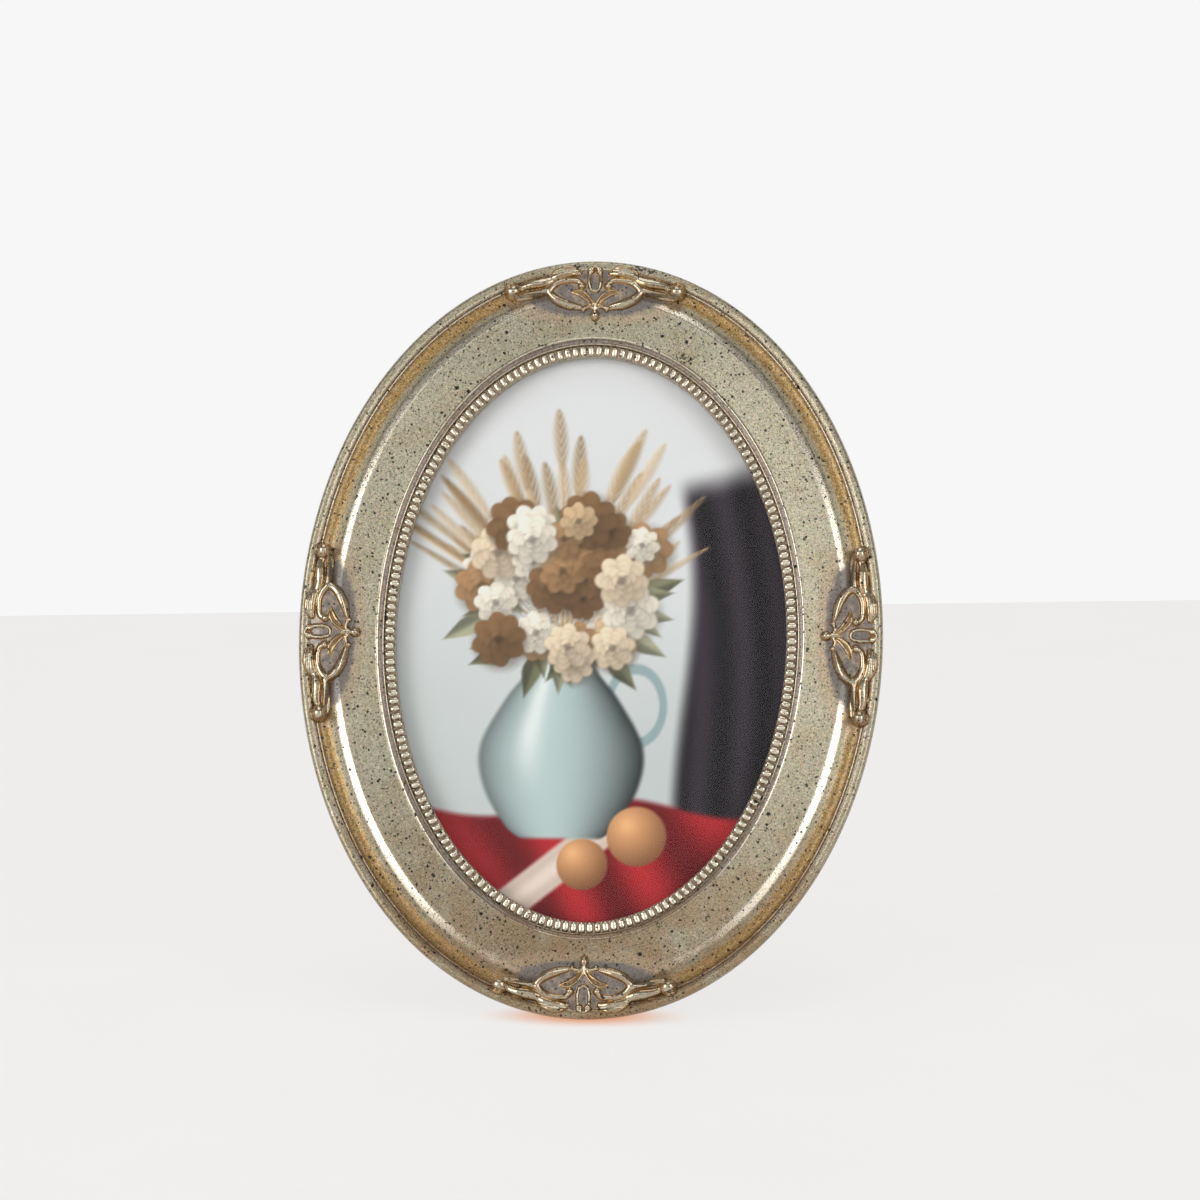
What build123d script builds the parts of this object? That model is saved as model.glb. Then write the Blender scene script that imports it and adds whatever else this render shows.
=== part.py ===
"""Oval table-top picture frame: a cast moulding with applied ornaments, glazing, back and easel leg."""

from build123d import *
import os
from math import cos, radians, sin, tan

# Driving dimensions, in millimetres and degrees.
# The frame leans back on its leg. The origin is the middle of the small flat under its lower edge.
lean_angle = 16.0
leg_open_angle = 28.0

# The moulding: an even band round the oval sight opening
sight_half_width = 58.7
sight_half_height = 85.8
band_width = 29.4
moulding_depth = 17.0
rebate_depth = 7.5
land_cut = 0.4
back_edge_inset = 2.6
rim_edge_height = 14.6

# The sight edge: a small rounded lip, then a channel that holds the beading
lip_width = 0.75
lip_height = 11.5
lip_round = 0.3
bead_channel_width = 2.85
bead_channel_height = 10.6
bead_strip_top = 12.0
bead_radius = 0.75
bead_end_gap = 0.08
bead_pitch = 2.38
fit_gap = 0.05

# The oval plates behind the sight edge, from the glass back
picture_half_width = 63.5
picture_half_height = 89.0
rebate_clearance = 0.5
glass_thickness = 2.0
print_thickness = 0.3
card_thickness = 1.4
board_thickness = 3.0
cover_thickness = 0.6
board_clearance = 0.3

# The easel leg and its hinge
hinge_rise = 30.0
hinge_width = 24.0
hinge_leaf_length = 14.0
hinge_leaf_thickness = 0.8
hinge_middle_width = 11.8
hinge_barrel_radius = 2.0
hinge_pin_radius = 1.0
hinge_pin_head_radius = 1.4
hinge_pin_head_length = 0.5
running_clearance = 0.05
hinge_side_gap = 0.1
hinge_lift = 0.3
stop_tab_width = 8.0
stop_tab_length = 7.0
leg_top_width = 28.0
leg_foot_width = 44.0
leg_thickness = 3.0
leg_corner = 4.0
flock_thickness = 0.4

# Rivets, screws and turn buttons
rivet_radius = 1.0
rivet_head_radius = 2.0
rivet_head_height = 0.8
rivet_crown_share = 0.8
rivet_spread = 8.0
rivet_offset = 9.0
button_pivot_offset = 6.5
button_pivot_radius = 4.2
button_tip_radius = 2.6
button_reach = 13.0
button_thickness = 0.8
button_lip_height = 1.6
button_lip_thickness = 0.7
button_gap = 0.1
screw_radius = 1.2
screw_bite = 0.1
screw_depth = 7.0
screw_head_radius = 2.7
screw_head_height = 1.3
screw_slot_width = 0.5
screw_slot_depth = 0.6

# The hanger
hanger_rise = 64.0
hanger_strap_width = 8.0
hanger_strap_length = 11.0
hanger_strap_thickness = 0.6
hanger_rivet_drop = 7.0
ring_wire_radius = 0.8
ring_bar_length = 13.0
ring_end_length = 10.0
ring_height = 13.0
ring_corner = 1.8
ring_end_corner = 4.0

# The four ornaments, drawn on a line that runs along the inner side of the rim.
# Their points are shares of half an ornament's length: along from its middle, then inward.
ornament_half_length = 27.0
ornament_line_inset = 2.7
ornament_crown_height = 18.4
ornament_crown_edge = 16.9
ornament_crown_inner = 16.3
ornament_crown_width = 18.5
ornament_ground_drop = 2.0

# The face of the moulding between the bead channel and the outer edge, as shares of the band's
# width and of the moulding's depth: fillet, grey groove, fillet, sloping flat band
inner_face_shares = [
    (0.129, 0.624),
    (0.133, 0.694),
    (0.151, 0.700),
    (0.156, 0.665),
    (0.184, 0.665),
    (0.187, 0.850),
    (0.196, 0.862),
    (0.203, 0.842),
]
roll_start_share = (0.609, 0.935)
roll_crest_share = (0.640, 0.965)
roll_end_share = (0.678, 0.930)
cove_low_share = (0.775, 0.780)
cove_end_share = (0.895, 0.890)
step_low_share = (0.905, 0.868)
rim_start_share = (0.918, 0.945)
rim_crest_share = (0.955, 0.980)

# Leaves of the half ornament: start, end, and the middles of the two edges
leaf_shares = [
    ((0.835, 0.055), (0.400, 0.005), (0.630, 0.150), (0.630, 0.040)),
    ((0.470, 0.060), (0.160, 0.025), (0.310, 0.072), (0.310, -0.028)),
    ((0.500, 0.200), (0.970, 0.120), (0.735, 0.214), (0.735, 0.165)),
    ((0.145, 0.195), (0.530, 0.200), (0.335, 0.125), (0.335, 0.070)),
    ((0.532, 0.178), (0.190, 0.462), (0.432, 0.372), (0.355, 0.300)),
    ((0.205, 0.250), (0.012, 0.388), (0.126, 0.352), (0.080, 0.290)),
    ((0.140, 0.480), (0.010, 0.455), (0.090, 0.395), (0.070, 0.450)),
]
petal_length_share = 0.270
petal_half_width_share = 0.072
stem_start_share = 0.330
stem_end_share = 0.530
stem_half_width_share = 0.024
# Knobs: along, inward, radius
knob_shares = [
    (0.160, 0.180, 0.032),
    (0.203, 0.442, 0.032),
    (0.136, 0.452, 0.026),
    (0.037, 0.020, 0.024),
]
ball_shares = (0.919, 0.067, 0.070)
bud_shares = (0.000, 0.526, 0.054)
# The ground under the leaves: half an outline, from the rim side round to the bud
ground_shares = [
    (0.000, -0.015),
    (0.330, -0.020),
    (0.620, 0.015),
    (0.930, 0.000),
    (0.990, 0.080),
    (0.900, 0.175),
    (0.700, 0.210),
    (0.560, 0.245),
    (0.470, 0.370),
    (0.330, 0.440),
    (0.180, 0.500),
    (0.070, 0.500),
    (0.000, 0.560),
]

# The leaning face: its plane is the flat back of the moulding, seen from the front
back_edge_offset = band_width - back_edge_inset
back_edge_half_height = sight_half_height + back_edge_offset
wall_run = back_edge_inset * sin(radians(lean_angle)) + rim_edge_height * cos(radians(lean_angle))
wall_rise = rim_edge_height * sin(radians(lean_angle)) - back_edge_inset * cos(radians(lean_angle))
land_front = land_cut * wall_run / wall_rise
land_back = land_cut * tan(radians(lean_angle))
centre_y = back_edge_half_height * sin(radians(lean_angle)) + (land_front - land_back) / 2
centre_z = back_edge_half_height * cos(radians(lean_angle)) - land_cut
face_plane = Plane(
    origin=(0, centre_y, centre_z),
    x_dir=(1, 0, 0),
    z_dir=(0, -cos(radians(lean_angle)), sin(radians(lean_angle))),
)
back_plane = Plane(origin=face_plane.origin, x_dir=(-1, 0, 0), z_dir=-face_plane.z_dir)

# Levels of the plates, measured forward from the moulding's back
glass_back = rebate_depth - glass_thickness
print_back = glass_back - print_thickness
card_back = print_back - card_thickness
board_back = card_back - board_thickness
cover_back = board_back - cover_thickness


def oval(offset, arc_size=360):
    """Edge of the oval that lies a distance outside the sight edge, on the back plane."""
    with BuildLine(face_plane) as line:
        EllipticalCenterArc(
            (0, 0),
            sight_half_width + offset,
            sight_half_height + offset,
            start_angle=0,
            arc_size=arc_size,
        )
    return line.edges()[0]


middle_path = oval(band_width / 2)
quarter_path = oval(band_width / 2, 90)
across_plane = Plane(origin=face_plane.origin, z_dir=face_plane.x_dir)
along_plane = Plane(origin=face_plane.origin, z_dir=face_plane.y_dir)
profile_plane = Plane(
    origin=middle_path.position_at(0),
    x_dir=face_plane.x_dir,
    z_dir=-face_plane.y_dir,
)


def profile_point(across, height):
    """Point of the moulding's section: outward from the sight edge, forward from the back."""
    return (across - band_width / 2, height)


def share_point(share, lift=0):
    """Point of the moulding's section given as shares of its width and depth."""
    return profile_point(share[0] * band_width, share[1] * moulding_depth + lift)


def draw_face(lift):
    """Front line of the moulding from the bead channel to the rim, raised by lift."""
    channel_end = lip_width + bead_channel_width
    Polyline(
        profile_point(channel_end, bead_channel_height + lift),
        *[share_point(share, lift) for share in inner_face_shares],
        share_point(roll_start_share, lift),
    )
    ThreePointArc(
        share_point(roll_start_share, lift),
        share_point(roll_crest_share, lift),
        share_point(roll_end_share, lift),
    )
    ThreePointArc(
        share_point(roll_end_share, lift),
        share_point(cove_low_share, lift),
        share_point(cove_end_share, lift),
    )
    Polyline(
        share_point(cove_end_share, lift),
        share_point(step_low_share, lift),
        share_point(rim_start_share, lift),
    )
    ThreePointArc(
        share_point(rim_start_share, lift),
        share_point(rim_crest_share, lift),
        profile_point(band_width, rim_edge_height + lift),
    )


# The moulding: its section is carried round the oval, then the rebate is sunk from the back
screw_line = oval(picture_half_width + rebate_clearance - sight_half_width + button_pivot_offset)
button_names = ["upper_right", "upper_left", "lower_left", "lower_right"]
button_places = [
    screw_line.length * (2 * number + 1) / (2 * len(button_names)) for number in range(len(button_names))
]


def inward_plane(line, distance, rear):
    """Plane on the back of the moulding at a distance along a line, with X towards the middle."""
    point = line.position_at(distance, PositionMode.LENGTH)
    tangent = line.tangent_at(distance, PositionMode.LENGTH)
    inward = face_plane.z_dir.cross(tangent)
    return Plane(origin=point, x_dir=inward, z_dir=rear)


button_planes = [inward_plane(screw_line, place, back_plane.z_dir) for place in button_places]

with BuildPart() as frame_moulding:
    with BuildSketch(profile_plane):
        with BuildLine():
            Polyline(
                profile_point(back_edge_offset, 0),
                profile_point(0, 0),
                profile_point(0, lip_height - lip_round),
                profile_point(lip_round, lip_height),
                profile_point(lip_width, lip_height),
                profile_point(lip_width, bead_channel_height),
                profile_point(lip_width + bead_channel_width, bead_channel_height),
            )
            draw_face(0)
            Line(profile_point(band_width, rim_edge_height), profile_point(back_edge_offset, 0))
        make_face()
    sweep(path=middle_path)
    with BuildSketch(face_plane):
        Ellipse(picture_half_width + rebate_clearance, picture_half_height + rebate_clearance)
    extrude(amount=rebate_depth, mode=Mode.SUBTRACT)
    for plane in button_planes:
        with BuildSketch(plane):
            Circle(screw_radius - screw_bite)
        extrude(amount=-screw_depth, mode=Mode.SUBTRACT)
    split(bisect_by=Plane.XY, keep=Keep.TOP)
frame_moulding.part.label = "frame_moulding"

# The beading: a quarter of a strip with a bead across it at every pitch, mirrored twice
strip_width = bead_channel_width - 2 * fit_gap
bead_line = oval(lip_width + bead_channel_width / 2)
quarter_count = round(bead_line.length / bead_pitch / 4)
bead_step = bead_line.length / quarter_count / 4

with BuildPart() as bead:
    with BuildSketch(Plane.XY):
        with BuildLine():
            straight = strip_width / 2 - bead_end_gap - bead_radius
            Line((-straight - bead_radius, 0), (straight + bead_radius, 0))
            ThreePointArc(
                (straight + bead_radius, 0),
                (straight + bead_radius * cos(radians(45)), bead_radius * sin(radians(45))),
                (straight, bead_radius),
            )
            Line((straight, bead_radius), (-straight, bead_radius))
            ThreePointArc(
                (-straight, bead_radius),
                (-straight - bead_radius * cos(radians(45)), bead_radius * sin(radians(45))),
                (-straight - bead_radius, 0),
            )
        make_face()
    revolve(axis=Axis.X, revolution_arc=360)

with BuildPart() as sight_beading:
    strip_base = bead_channel_height + fit_gap
    with BuildSketch(face_plane.offset(strip_base)):
        outer = lip_width + bead_channel_width - fit_gap
        inner = lip_width + fit_gap
        Ellipse(sight_half_width + outer, sight_half_height + outer)
        Ellipse(sight_half_width + inner, sight_half_height + inner, mode=Mode.SUBTRACT)
        Rectangle(
            sight_half_width + band_width,
            sight_half_height + band_width,
            align=(Align.MIN, Align.MIN),
            mode=Mode.INTERSECT,
        )
    extrude(amount=bead_strip_top - strip_base)
    bead_planes = [
        inward_plane(bead_line, (number + 1 / 2) * bead_step, face_plane.z_dir).offset(bead_strip_top)
        for number in range(quarter_count)
    ]
    with Locations(*[plane.location for plane in bead_planes]):
        add(bead.part, clean=False)
    mirror(about=across_plane)
    mirror(about=along_plane)
sight_beading.part.label = "sight_beading"

# The ornaments: each is half a scroll casting in the oval's first quarter, mirrored.
# A casting fills the space between the face of the moulding and a domed crown.
ornament_line_offset = band_width - ornament_line_inset
ornament_line = oval(ornament_line_offset, 90)

with BuildPart() as bed:
    with BuildSketch(profile_plane):
        with BuildLine():
            draw_face(fit_gap)
            Polyline(
                profile_point(band_width, rim_edge_height + fit_gap),
                profile_point(band_width, 0),
                profile_point(lip_width + bead_channel_width, 0),
                profile_point(lip_width + bead_channel_width, bead_channel_height + fit_gap),
            )
        make_face()
    sweep(path=quarter_path)


def make_crown(drop):
    """Quarter ring under the ornaments' domed top, lowered by drop."""
    inner_across = band_width - ornament_crown_width
    with BuildPart() as crown:
        with BuildSketch(profile_plane):
            with BuildLine():
                ThreePointArc(
                    profile_point(inner_across, ornament_crown_inner - drop),
                    profile_point(band_width - ornament_crown_width / 2, ornament_crown_height - drop),
                    profile_point(band_width, ornament_crown_edge - drop),
                )
                Polyline(
                    profile_point(band_width, ornament_crown_edge - drop),
                    profile_point(band_width, 0),
                    profile_point(inner_across, 0),
                    profile_point(inner_across, ornament_crown_inner - drop),
                )
            make_face()
        sweep(path=quarter_path)
    return crown.part


leaf_crown = make_crown(0)
ground_crown = make_crown(ornament_ground_drop)
petal_shares = (
    (0, 0),
    (0, petal_length_share),
    (petal_half_width_share, petal_length_share / 2),
    (-petal_half_width_share, petal_length_share / 2),
)
stem_shares = (
    (0, stem_start_share),
    (0, stem_end_share),
    (stem_half_width_share, (stem_start_share + stem_end_share) / 2),
    (-stem_half_width_share, (stem_start_share + stem_end_share) / 2),
)


def ornament_point(top, share):
    """Point on the face for shares of an ornament: along its line from the middle, then inward."""
    along = share[0] * ornament_half_length
    place = ornament_line.length - along if top else along
    plane = inward_plane(ornament_line, place, face_plane.z_dir)
    return face_plane.to_local_coords(plane.origin + plane.x_dir * share[1] * ornament_half_length)


def make_ground(top):
    """Low ground that joins the leaves of half an ornament."""
    outline = [ornament_point(top, share) for share in ground_shares]
    with BuildPart() as ground:
        with BuildSketch(face_plane):
            with BuildLine():
                Spline(*outline)
                Line(outline[-1], outline[0])
            make_face()
        extrude(amount=ornament_crown_height)
        add(ground_crown, mode=Mode.INTERSECT)
    return ground.part


def make_ornament(top, name):
    """One casting: each leaf lies between two arcs that meet in points at both ends."""
    with BuildPart() as ornament:
        with BuildSketch(face_plane):
            for leaf in [petal_shares, stem_shares, *leaf_shares]:
                start, end, outer_middle, inner_middle = [ornament_point(top, share) for share in leaf]
                with BuildLine():
                    ThreePointArc(start, outer_middle, end)
                    ThreePointArc(end, inner_middle, start)
                make_face()
            for knob in [ball_shares, bud_shares, *knob_shares]:
                with Locations(ornament_point(top, knob)):
                    Circle(knob[2] * ornament_half_length)
        extrude(amount=ornament_crown_height)
        add(leaf_crown, mode=Mode.INTERSECT)
        add(make_ground(top))
        add(bed.part, mode=Mode.SUBTRACT)
        mirror(about=across_plane if top else along_plane)
    ornament.part.label = name
    return ornament.part


def mirrored(piece, plane, name):
    """The same piece on the other side of the oval."""
    with BuildPart() as copy:
        mirror(piece, about=plane)
    copy.part.label = name
    return copy.part


ornament_right = make_ornament(False, "ornament_right")
ornament_top = make_ornament(True, "ornament_top")
ornament_left = mirrored(ornament_right, across_plane, "ornament_left")
ornament_bottom = mirrored(ornament_top, along_plane, "ornament_bottom")
ornaments = [ornament_right, ornament_top, ornament_left, ornament_bottom]

# The oval plates in the rebate, from the glass to the back cover
def oval_plate(name, level, thickness, clearance, holes):
    """Oval plate that starts at a level above the moulding's back, with rivet holes."""
    with BuildPart() as plate:
        with BuildSketch(face_plane.offset(level)):
            Ellipse(picture_half_width - clearance, picture_half_height - clearance)
            if holes:
                with Locations(*rivet_places):
                    Circle(rivet_radius + running_clearance, mode=Mode.SUBTRACT)
        extrude(amount=thickness)
    plate.part.label = name
    return plate.part


hinge_rivet_rise = hinge_rise + rivet_offset
hanger_rivet_rise = hanger_rise - hanger_rivet_drop
rivet_places = [
    (-rivet_spread, hinge_rivet_rise),
    (rivet_spread, hinge_rivet_rise),
    (0, hanger_rivet_rise),
]
glass_pane = oval_plate("glass_pane", glass_back, glass_thickness, 0, False)
picture_print = oval_plate("picture_print", print_back, print_thickness, 0, False)
backing_card = oval_plate("backing_card", card_back, card_thickness, 0, False)
back_board = oval_plate("back_board", board_back, board_thickness, board_clearance, True)
back_cover = oval_plate("back_cover", cover_back, cover_thickness, board_clearance, True)

# The hinge. Its two side planes have X to the rear and Y up, with the pin's axis at their origin.
cover_plane = back_plane.offset(-cover_back)
axis_lift = hinge_barrel_radius + hinge_lift
hinge_plane = Plane(
    origin=cover_plane.from_local_coords(Vector(0, hinge_rise, axis_lift)),
    x_dir=back_plane.x_dir,
    z_dir=back_plane.z_dir,
)
leg_angle = leg_open_angle - lean_angle
leg_plane = Plane(
    origin=hinge_plane.origin,
    x_dir=(-1, 0, 0),
    z_dir=(0, cos(radians(leg_angle)), sin(radians(leg_angle))),
)


def side_plane(plane, across):
    """Plane square to the hinge's axis at a place across it, with X to the rear and Y up."""
    origin = plane.origin + Vector(across, 0, 0)
    return Plane(origin=origin, x_dir=plane.z_dir, z_dir=(1, 0, 0))


knuckle_start = hinge_middle_width / 2 + hinge_side_gap
knuckle_width = hinge_width / 2 - knuckle_start
leaf_gap = hinge_barrel_radius + hinge_lift

with BuildPart() as hinge_fixed_leaf:
    for across in (-hinge_width / 2, knuckle_start):
        with BuildSketch(side_plane(hinge_plane, across)):
            Circle(hinge_barrel_radius)
            with Locations((-axis_lift, 0)):
                Rectangle(hinge_leaf_thickness, leaf_gap, align=(Align.MIN, Align.MIN))
            Circle(hinge_pin_radius + running_clearance, mode=Mode.SUBTRACT)
        extrude(amount=knuckle_width)
    with BuildSketch(cover_plane):
        with Locations((0, hinge_rise + leaf_gap)):
            Rectangle(hinge_width, hinge_leaf_length - leaf_gap, align=(Align.CENTER, Align.MIN))
        with Locations((-rivet_spread, hinge_rivet_rise), (rivet_spread, hinge_rivet_rise)):
            Circle(rivet_radius + running_clearance, mode=Mode.SUBTRACT)
    extrude(amount=hinge_leaf_thickness)
hinge_fixed_leaf.part.label = "hinge_fixed_leaf"

stop_front = axis_lift - hinge_leaf_thickness - running_clearance
stop_start = (hinge_pin_radius + hinge_barrel_radius) / 2

with BuildPart() as hinge_moving_leaf:
    with BuildSketch(side_plane(leg_plane, -hinge_middle_width / 2)):
        Circle(hinge_barrel_radius)
        with Locations((-hinge_barrel_radius, 0)):
            Rectangle(hinge_leaf_thickness, leaf_gap, align=(Align.MIN, Align.MAX))
        Circle(hinge_pin_radius + running_clearance, mode=Mode.SUBTRACT)
    extrude(amount=hinge_middle_width)
    with BuildSketch(side_plane(hinge_plane, -stop_tab_width / 2)):
        with Locations((-stop_front, stop_start)):
            Rectangle(
                hinge_leaf_thickness,
                stop_tab_length - stop_start,
                align=(Align.MIN, Align.MIN),
            )
    extrude(amount=stop_tab_width)
    with BuildSketch(leg_plane.offset(-hinge_barrel_radius)):
        with Locations((0, -leaf_gap)):
            Rectangle(hinge_width, hinge_leaf_length - leaf_gap, align=(Align.CENTER, Align.MAX))
        with Locations((-rivet_spread, -rivet_offset), (rivet_spread, -rivet_offset)):
            Circle(rivet_radius + running_clearance, mode=Mode.SUBTRACT)
    extrude(amount=hinge_leaf_thickness)
hinge_moving_leaf.part.label = "hinge_moving_leaf"

with BuildPart() as hinge_pin:
    with BuildSketch(side_plane(hinge_plane, -hinge_width / 2)):
        Circle(hinge_pin_radius)
    extrude(amount=hinge_width)
    for across, reach in ((-hinge_width / 2, -1), (hinge_width / 2, 1)):
        with BuildSketch(side_plane(hinge_plane, across)):
            Circle(hinge_pin_head_radius)
        extrude(amount=reach * hinge_pin_head_length)
hinge_pin.part.label = "hinge_pin"


# The leg: a tapered strut board in a thin flocked skin, both cut off level at the foot
leg_front = hinge_leaf_thickness - hinge_barrel_radius
leg_top = -leaf_gap - hinge_lift
leg_reach = centre_z / cos(radians(leg_angle)) + hinge_rise + leg_foot_width


def leg_block(inset, floor):
    """Tapered strut: the skin's outside when inset is zero, else the board inside it."""
    with BuildPart() as block:
        with BuildSketch(leg_plane.offset(leg_front + inset)):
            with BuildLine():
                top = leg_top - inset
                taper = (leg_foot_width - leg_top_width) / 2 / (centre_z + hinge_rise)
                top_half = leg_top_width / 2 - inset
                foot_half = top_half + taper * leg_reach
                FilletPolyline(
                    (-foot_half, top - leg_reach),
                    (-top_half, top),
                    (top_half, top),
                    (foot_half, top - leg_reach),
                    radius=leg_corner,
                    close=False,
                )
                Line((foot_half, top - leg_reach), (-foot_half, top - leg_reach))
            make_face()
            with Locations((-rivet_spread, -rivet_offset), (rivet_spread, -rivet_offset)):
                Circle(rivet_radius + running_clearance, mode=Mode.SUBTRACT)
        extrude(amount=leg_thickness + 2 * (flock_thickness - inset))
        split(bisect_by=Plane.XY.offset(floor), keep=Keep.TOP)
    return block.part


easel_leg = leg_block(flock_thickness, flock_thickness)
easel_leg.label = "easel_leg"

with BuildPart() as easel_leg_cover:
    add(leg_block(0, 0))
    add(leg_block(flock_thickness, flock_thickness), mode=Mode.SUBTRACT)
easel_leg_cover.part.label = "easel_leg_cover"


# Rivets: a domed head on a short shank
def rivet(plane, place, grip):
    """Rivet whose head rests on a plane and whose shank runs back through the grip."""
    with BuildPart() as body:
        with BuildSketch(plane):
            with Locations(place):
                Circle(rivet_radius)
        extrude(amount=-grip)
        with BuildSketch(plane):
            with Locations(place):
                Circle(rivet_head_radius)
        extrude(amount=rivet_head_height)
        crown = body.faces().sort_by(Axis(plane.origin, plane.z_dir))[-1]
        fillet(crown.edges(), radius=rivet_head_height * rivet_crown_share)
    return body.part


board_grip = cover_thickness + board_thickness
leaf_back = cover_plane.offset(hinge_leaf_thickness)
leg_back = leg_plane.offset(leg_front + leg_thickness + 2 * flock_thickness)
leg_grip = hinge_leaf_thickness + leg_thickness + 2 * flock_thickness

with BuildPart() as hinge_board_rivets:
    for across in (-rivet_spread, rivet_spread):
        add(rivet(leaf_back, (across, hinge_rivet_rise), hinge_leaf_thickness + board_grip))
hinge_board_rivets.part.label = "hinge_board_rivets"

with BuildPart() as hinge_leg_rivets:
    for across in (-rivet_spread, rivet_spread):
        add(rivet(leg_back, (across, -rivet_offset), leg_grip))
hinge_leg_rivets.part.label = "hinge_leg_rivets"


# Turn buttons: each swivels on a screw in the moulding and its tip holds the back in
def turn_button(plane, name):
    """Flat drop-shaped clip with a finger lip across its tip."""
    with BuildPart() as button:
        with BuildSketch(plane.offset(button_gap)):
            with BuildLine():
                CenterArc((0, 0), button_pivot_radius, 0, 360)
                CenterArc((button_reach, 0), button_tip_radius, 0, 360)
            make_hull()
            Circle(screw_radius + running_clearance, mode=Mode.SUBTRACT)
        extrude(amount=button_thickness)
        with BuildSketch(plane.offset(button_gap + button_thickness)):
            with Locations((button_reach, 0)):
                Rectangle(button_lip_thickness, button_tip_radius)
        extrude(amount=button_lip_height)
    button.part.label = name
    return button.part


turn_buttons = [
    turn_button(plane, f"turn_button_{place}") for plane, place in zip(button_planes, button_names)
]
screw_seat = button_gap + button_thickness + button_gap

with BuildPart() as turn_button_screws:
    for plane in button_planes:
        with BuildSketch(plane.offset(screw_seat)):
            Circle(screw_radius)
        extrude(amount=-screw_seat - screw_depth)
        with BuildSketch(plane.offset(screw_seat)):
            Circle(screw_head_radius)
        extrude(amount=screw_head_height)
        with BuildSketch(plane.offset(screw_seat + screw_head_height)):
            Rectangle(screw_head_radius, screw_slot_width)
            Rectangle(screw_slot_width, screw_head_radius)
        extrude(amount=-screw_slot_depth, mode=Mode.SUBTRACT)
turn_button_screws.part.label = "turn_button_screws"

# The hanger: a strap folded round the bar of a wire ring, which hangs straight down
eye_radius = ring_wire_radius + running_clearance
strap_radius = eye_radius + hanger_strap_thickness
hanger_plane = Plane(
    origin=cover_plane.from_local_coords(Vector(0, hanger_rise, strap_radius)),
    x_dir=back_plane.x_dir,
    z_dir=back_plane.z_dir,
)

with BuildPart() as hanger_strap:
    with BuildSketch(side_plane(hanger_plane, -hanger_strap_width / 2)):
        Circle(strap_radius)
        with Locations((-strap_radius, 0)):
            Rectangle(hanger_strap_thickness, hanger_strap_length, align=(Align.MIN, Align.MAX))
        Circle(eye_radius, mode=Mode.SUBTRACT)
    extrude(amount=hanger_strap_width)
    with BuildSketch(cover_plane):
        with Locations((0, hanger_rivet_rise)):
            Circle(rivet_radius + running_clearance)
    extrude(amount=hanger_strap_thickness, mode=Mode.SUBTRACT)
hanger_strap.part.label = "hanger_strap"

with BuildPart() as hanger_rivet:
    strap_back = cover_plane.offset(hanger_strap_thickness)
    add(rivet(strap_back, (0, hanger_rivet_rise), hanger_strap_thickness + board_grip))
hanger_rivet.part.label = "hanger_rivet"

ring_plane = Plane(origin=hanger_plane.origin, x_dir=(1, 0, 0), z_dir=(0, -1, 0))

with BuildLine(ring_plane) as ring_wire:
    FilletPolyline(
        (ring_bar_length / 2, 0),
        (ring_end_length / 2, -ring_height),
        (-ring_end_length / 2, -ring_height),
        (-ring_bar_length / 2, 0),
        radius=[ring_corner, ring_end_corner, ring_end_corner, ring_corner],
        close=True,
    )
ring_path = ring_wire.wires()[0]

with BuildPart() as hanger_ring:
    with BuildSketch(Plane(origin=ring_path.position_at(0), z_dir=ring_path.tangent_at(0))):
        Circle(ring_wire_radius)
    sweep(path=ring_path)
hanger_ring.part.label = "hanger_ring"

pieces = [
    frame_moulding.part,
    sight_beading.part,
    *ornaments,
    glass_pane,
    picture_print,
    backing_card,
    back_board,
    back_cover,
    hinge_fixed_leaf.part,
    hinge_moving_leaf.part,
    hinge_pin.part,
    easel_leg,
    easel_leg_cover.part,
    hinge_board_rivets.part,
    hinge_leg_rivets.part,
    *turn_buttons,
    turn_button_screws.part,
    hanger_strap.part,
    hanger_rivet.part,
    hanger_ring.part,
]
os.makedirs("parts", exist_ok=True)
for piece in pieces:
    export_step(piece, f"parts/{piece.label}.step")
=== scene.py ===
"""Looks of the oval table-top picture frame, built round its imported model."""

import math

import bpy
import numpy as np
from bpy.props import FloatProperty, FloatVectorProperty, IntProperty, PointerProperty
from bpy.types import Operator, Panel, PropertyGroup
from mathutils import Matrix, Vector


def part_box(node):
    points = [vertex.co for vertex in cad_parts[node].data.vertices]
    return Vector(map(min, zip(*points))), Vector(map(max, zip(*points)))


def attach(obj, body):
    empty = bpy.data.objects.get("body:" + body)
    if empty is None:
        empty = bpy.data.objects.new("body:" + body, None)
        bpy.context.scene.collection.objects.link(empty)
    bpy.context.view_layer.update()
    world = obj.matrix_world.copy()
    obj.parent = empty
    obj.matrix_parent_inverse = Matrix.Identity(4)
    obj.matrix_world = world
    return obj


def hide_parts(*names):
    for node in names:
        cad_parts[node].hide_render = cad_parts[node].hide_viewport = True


bl_info = {
    "name": "Oval Picture Frame",
    "version": (1, 0, 0),
    "blender": (4, 5, 0),
    "location": "3D View > Sidebar > Picture Frame",
    "description": "Builds the looks of an oval cast picture frame on an easel leg",
    "category": "Add Mesh",
}

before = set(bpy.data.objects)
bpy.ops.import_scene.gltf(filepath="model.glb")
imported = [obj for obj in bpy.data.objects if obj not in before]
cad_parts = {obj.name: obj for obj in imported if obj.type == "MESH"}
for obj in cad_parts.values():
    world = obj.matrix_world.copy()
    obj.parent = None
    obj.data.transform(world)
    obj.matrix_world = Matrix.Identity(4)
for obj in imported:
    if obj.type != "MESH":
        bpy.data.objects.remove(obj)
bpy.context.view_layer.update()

MM = 0.001
FULL_TURN = 2 * math.pi

# Millimetres: band, the rim's inner line, half the sight opening, rebate, front of the print
BAND = 29.4
RIM_START = 26.7
SIGHT_X = 58.7
SIGHT_Y = 85.8
REBATE_DEPTH = 7.5
PRINT_FRONT = 5.5

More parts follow.
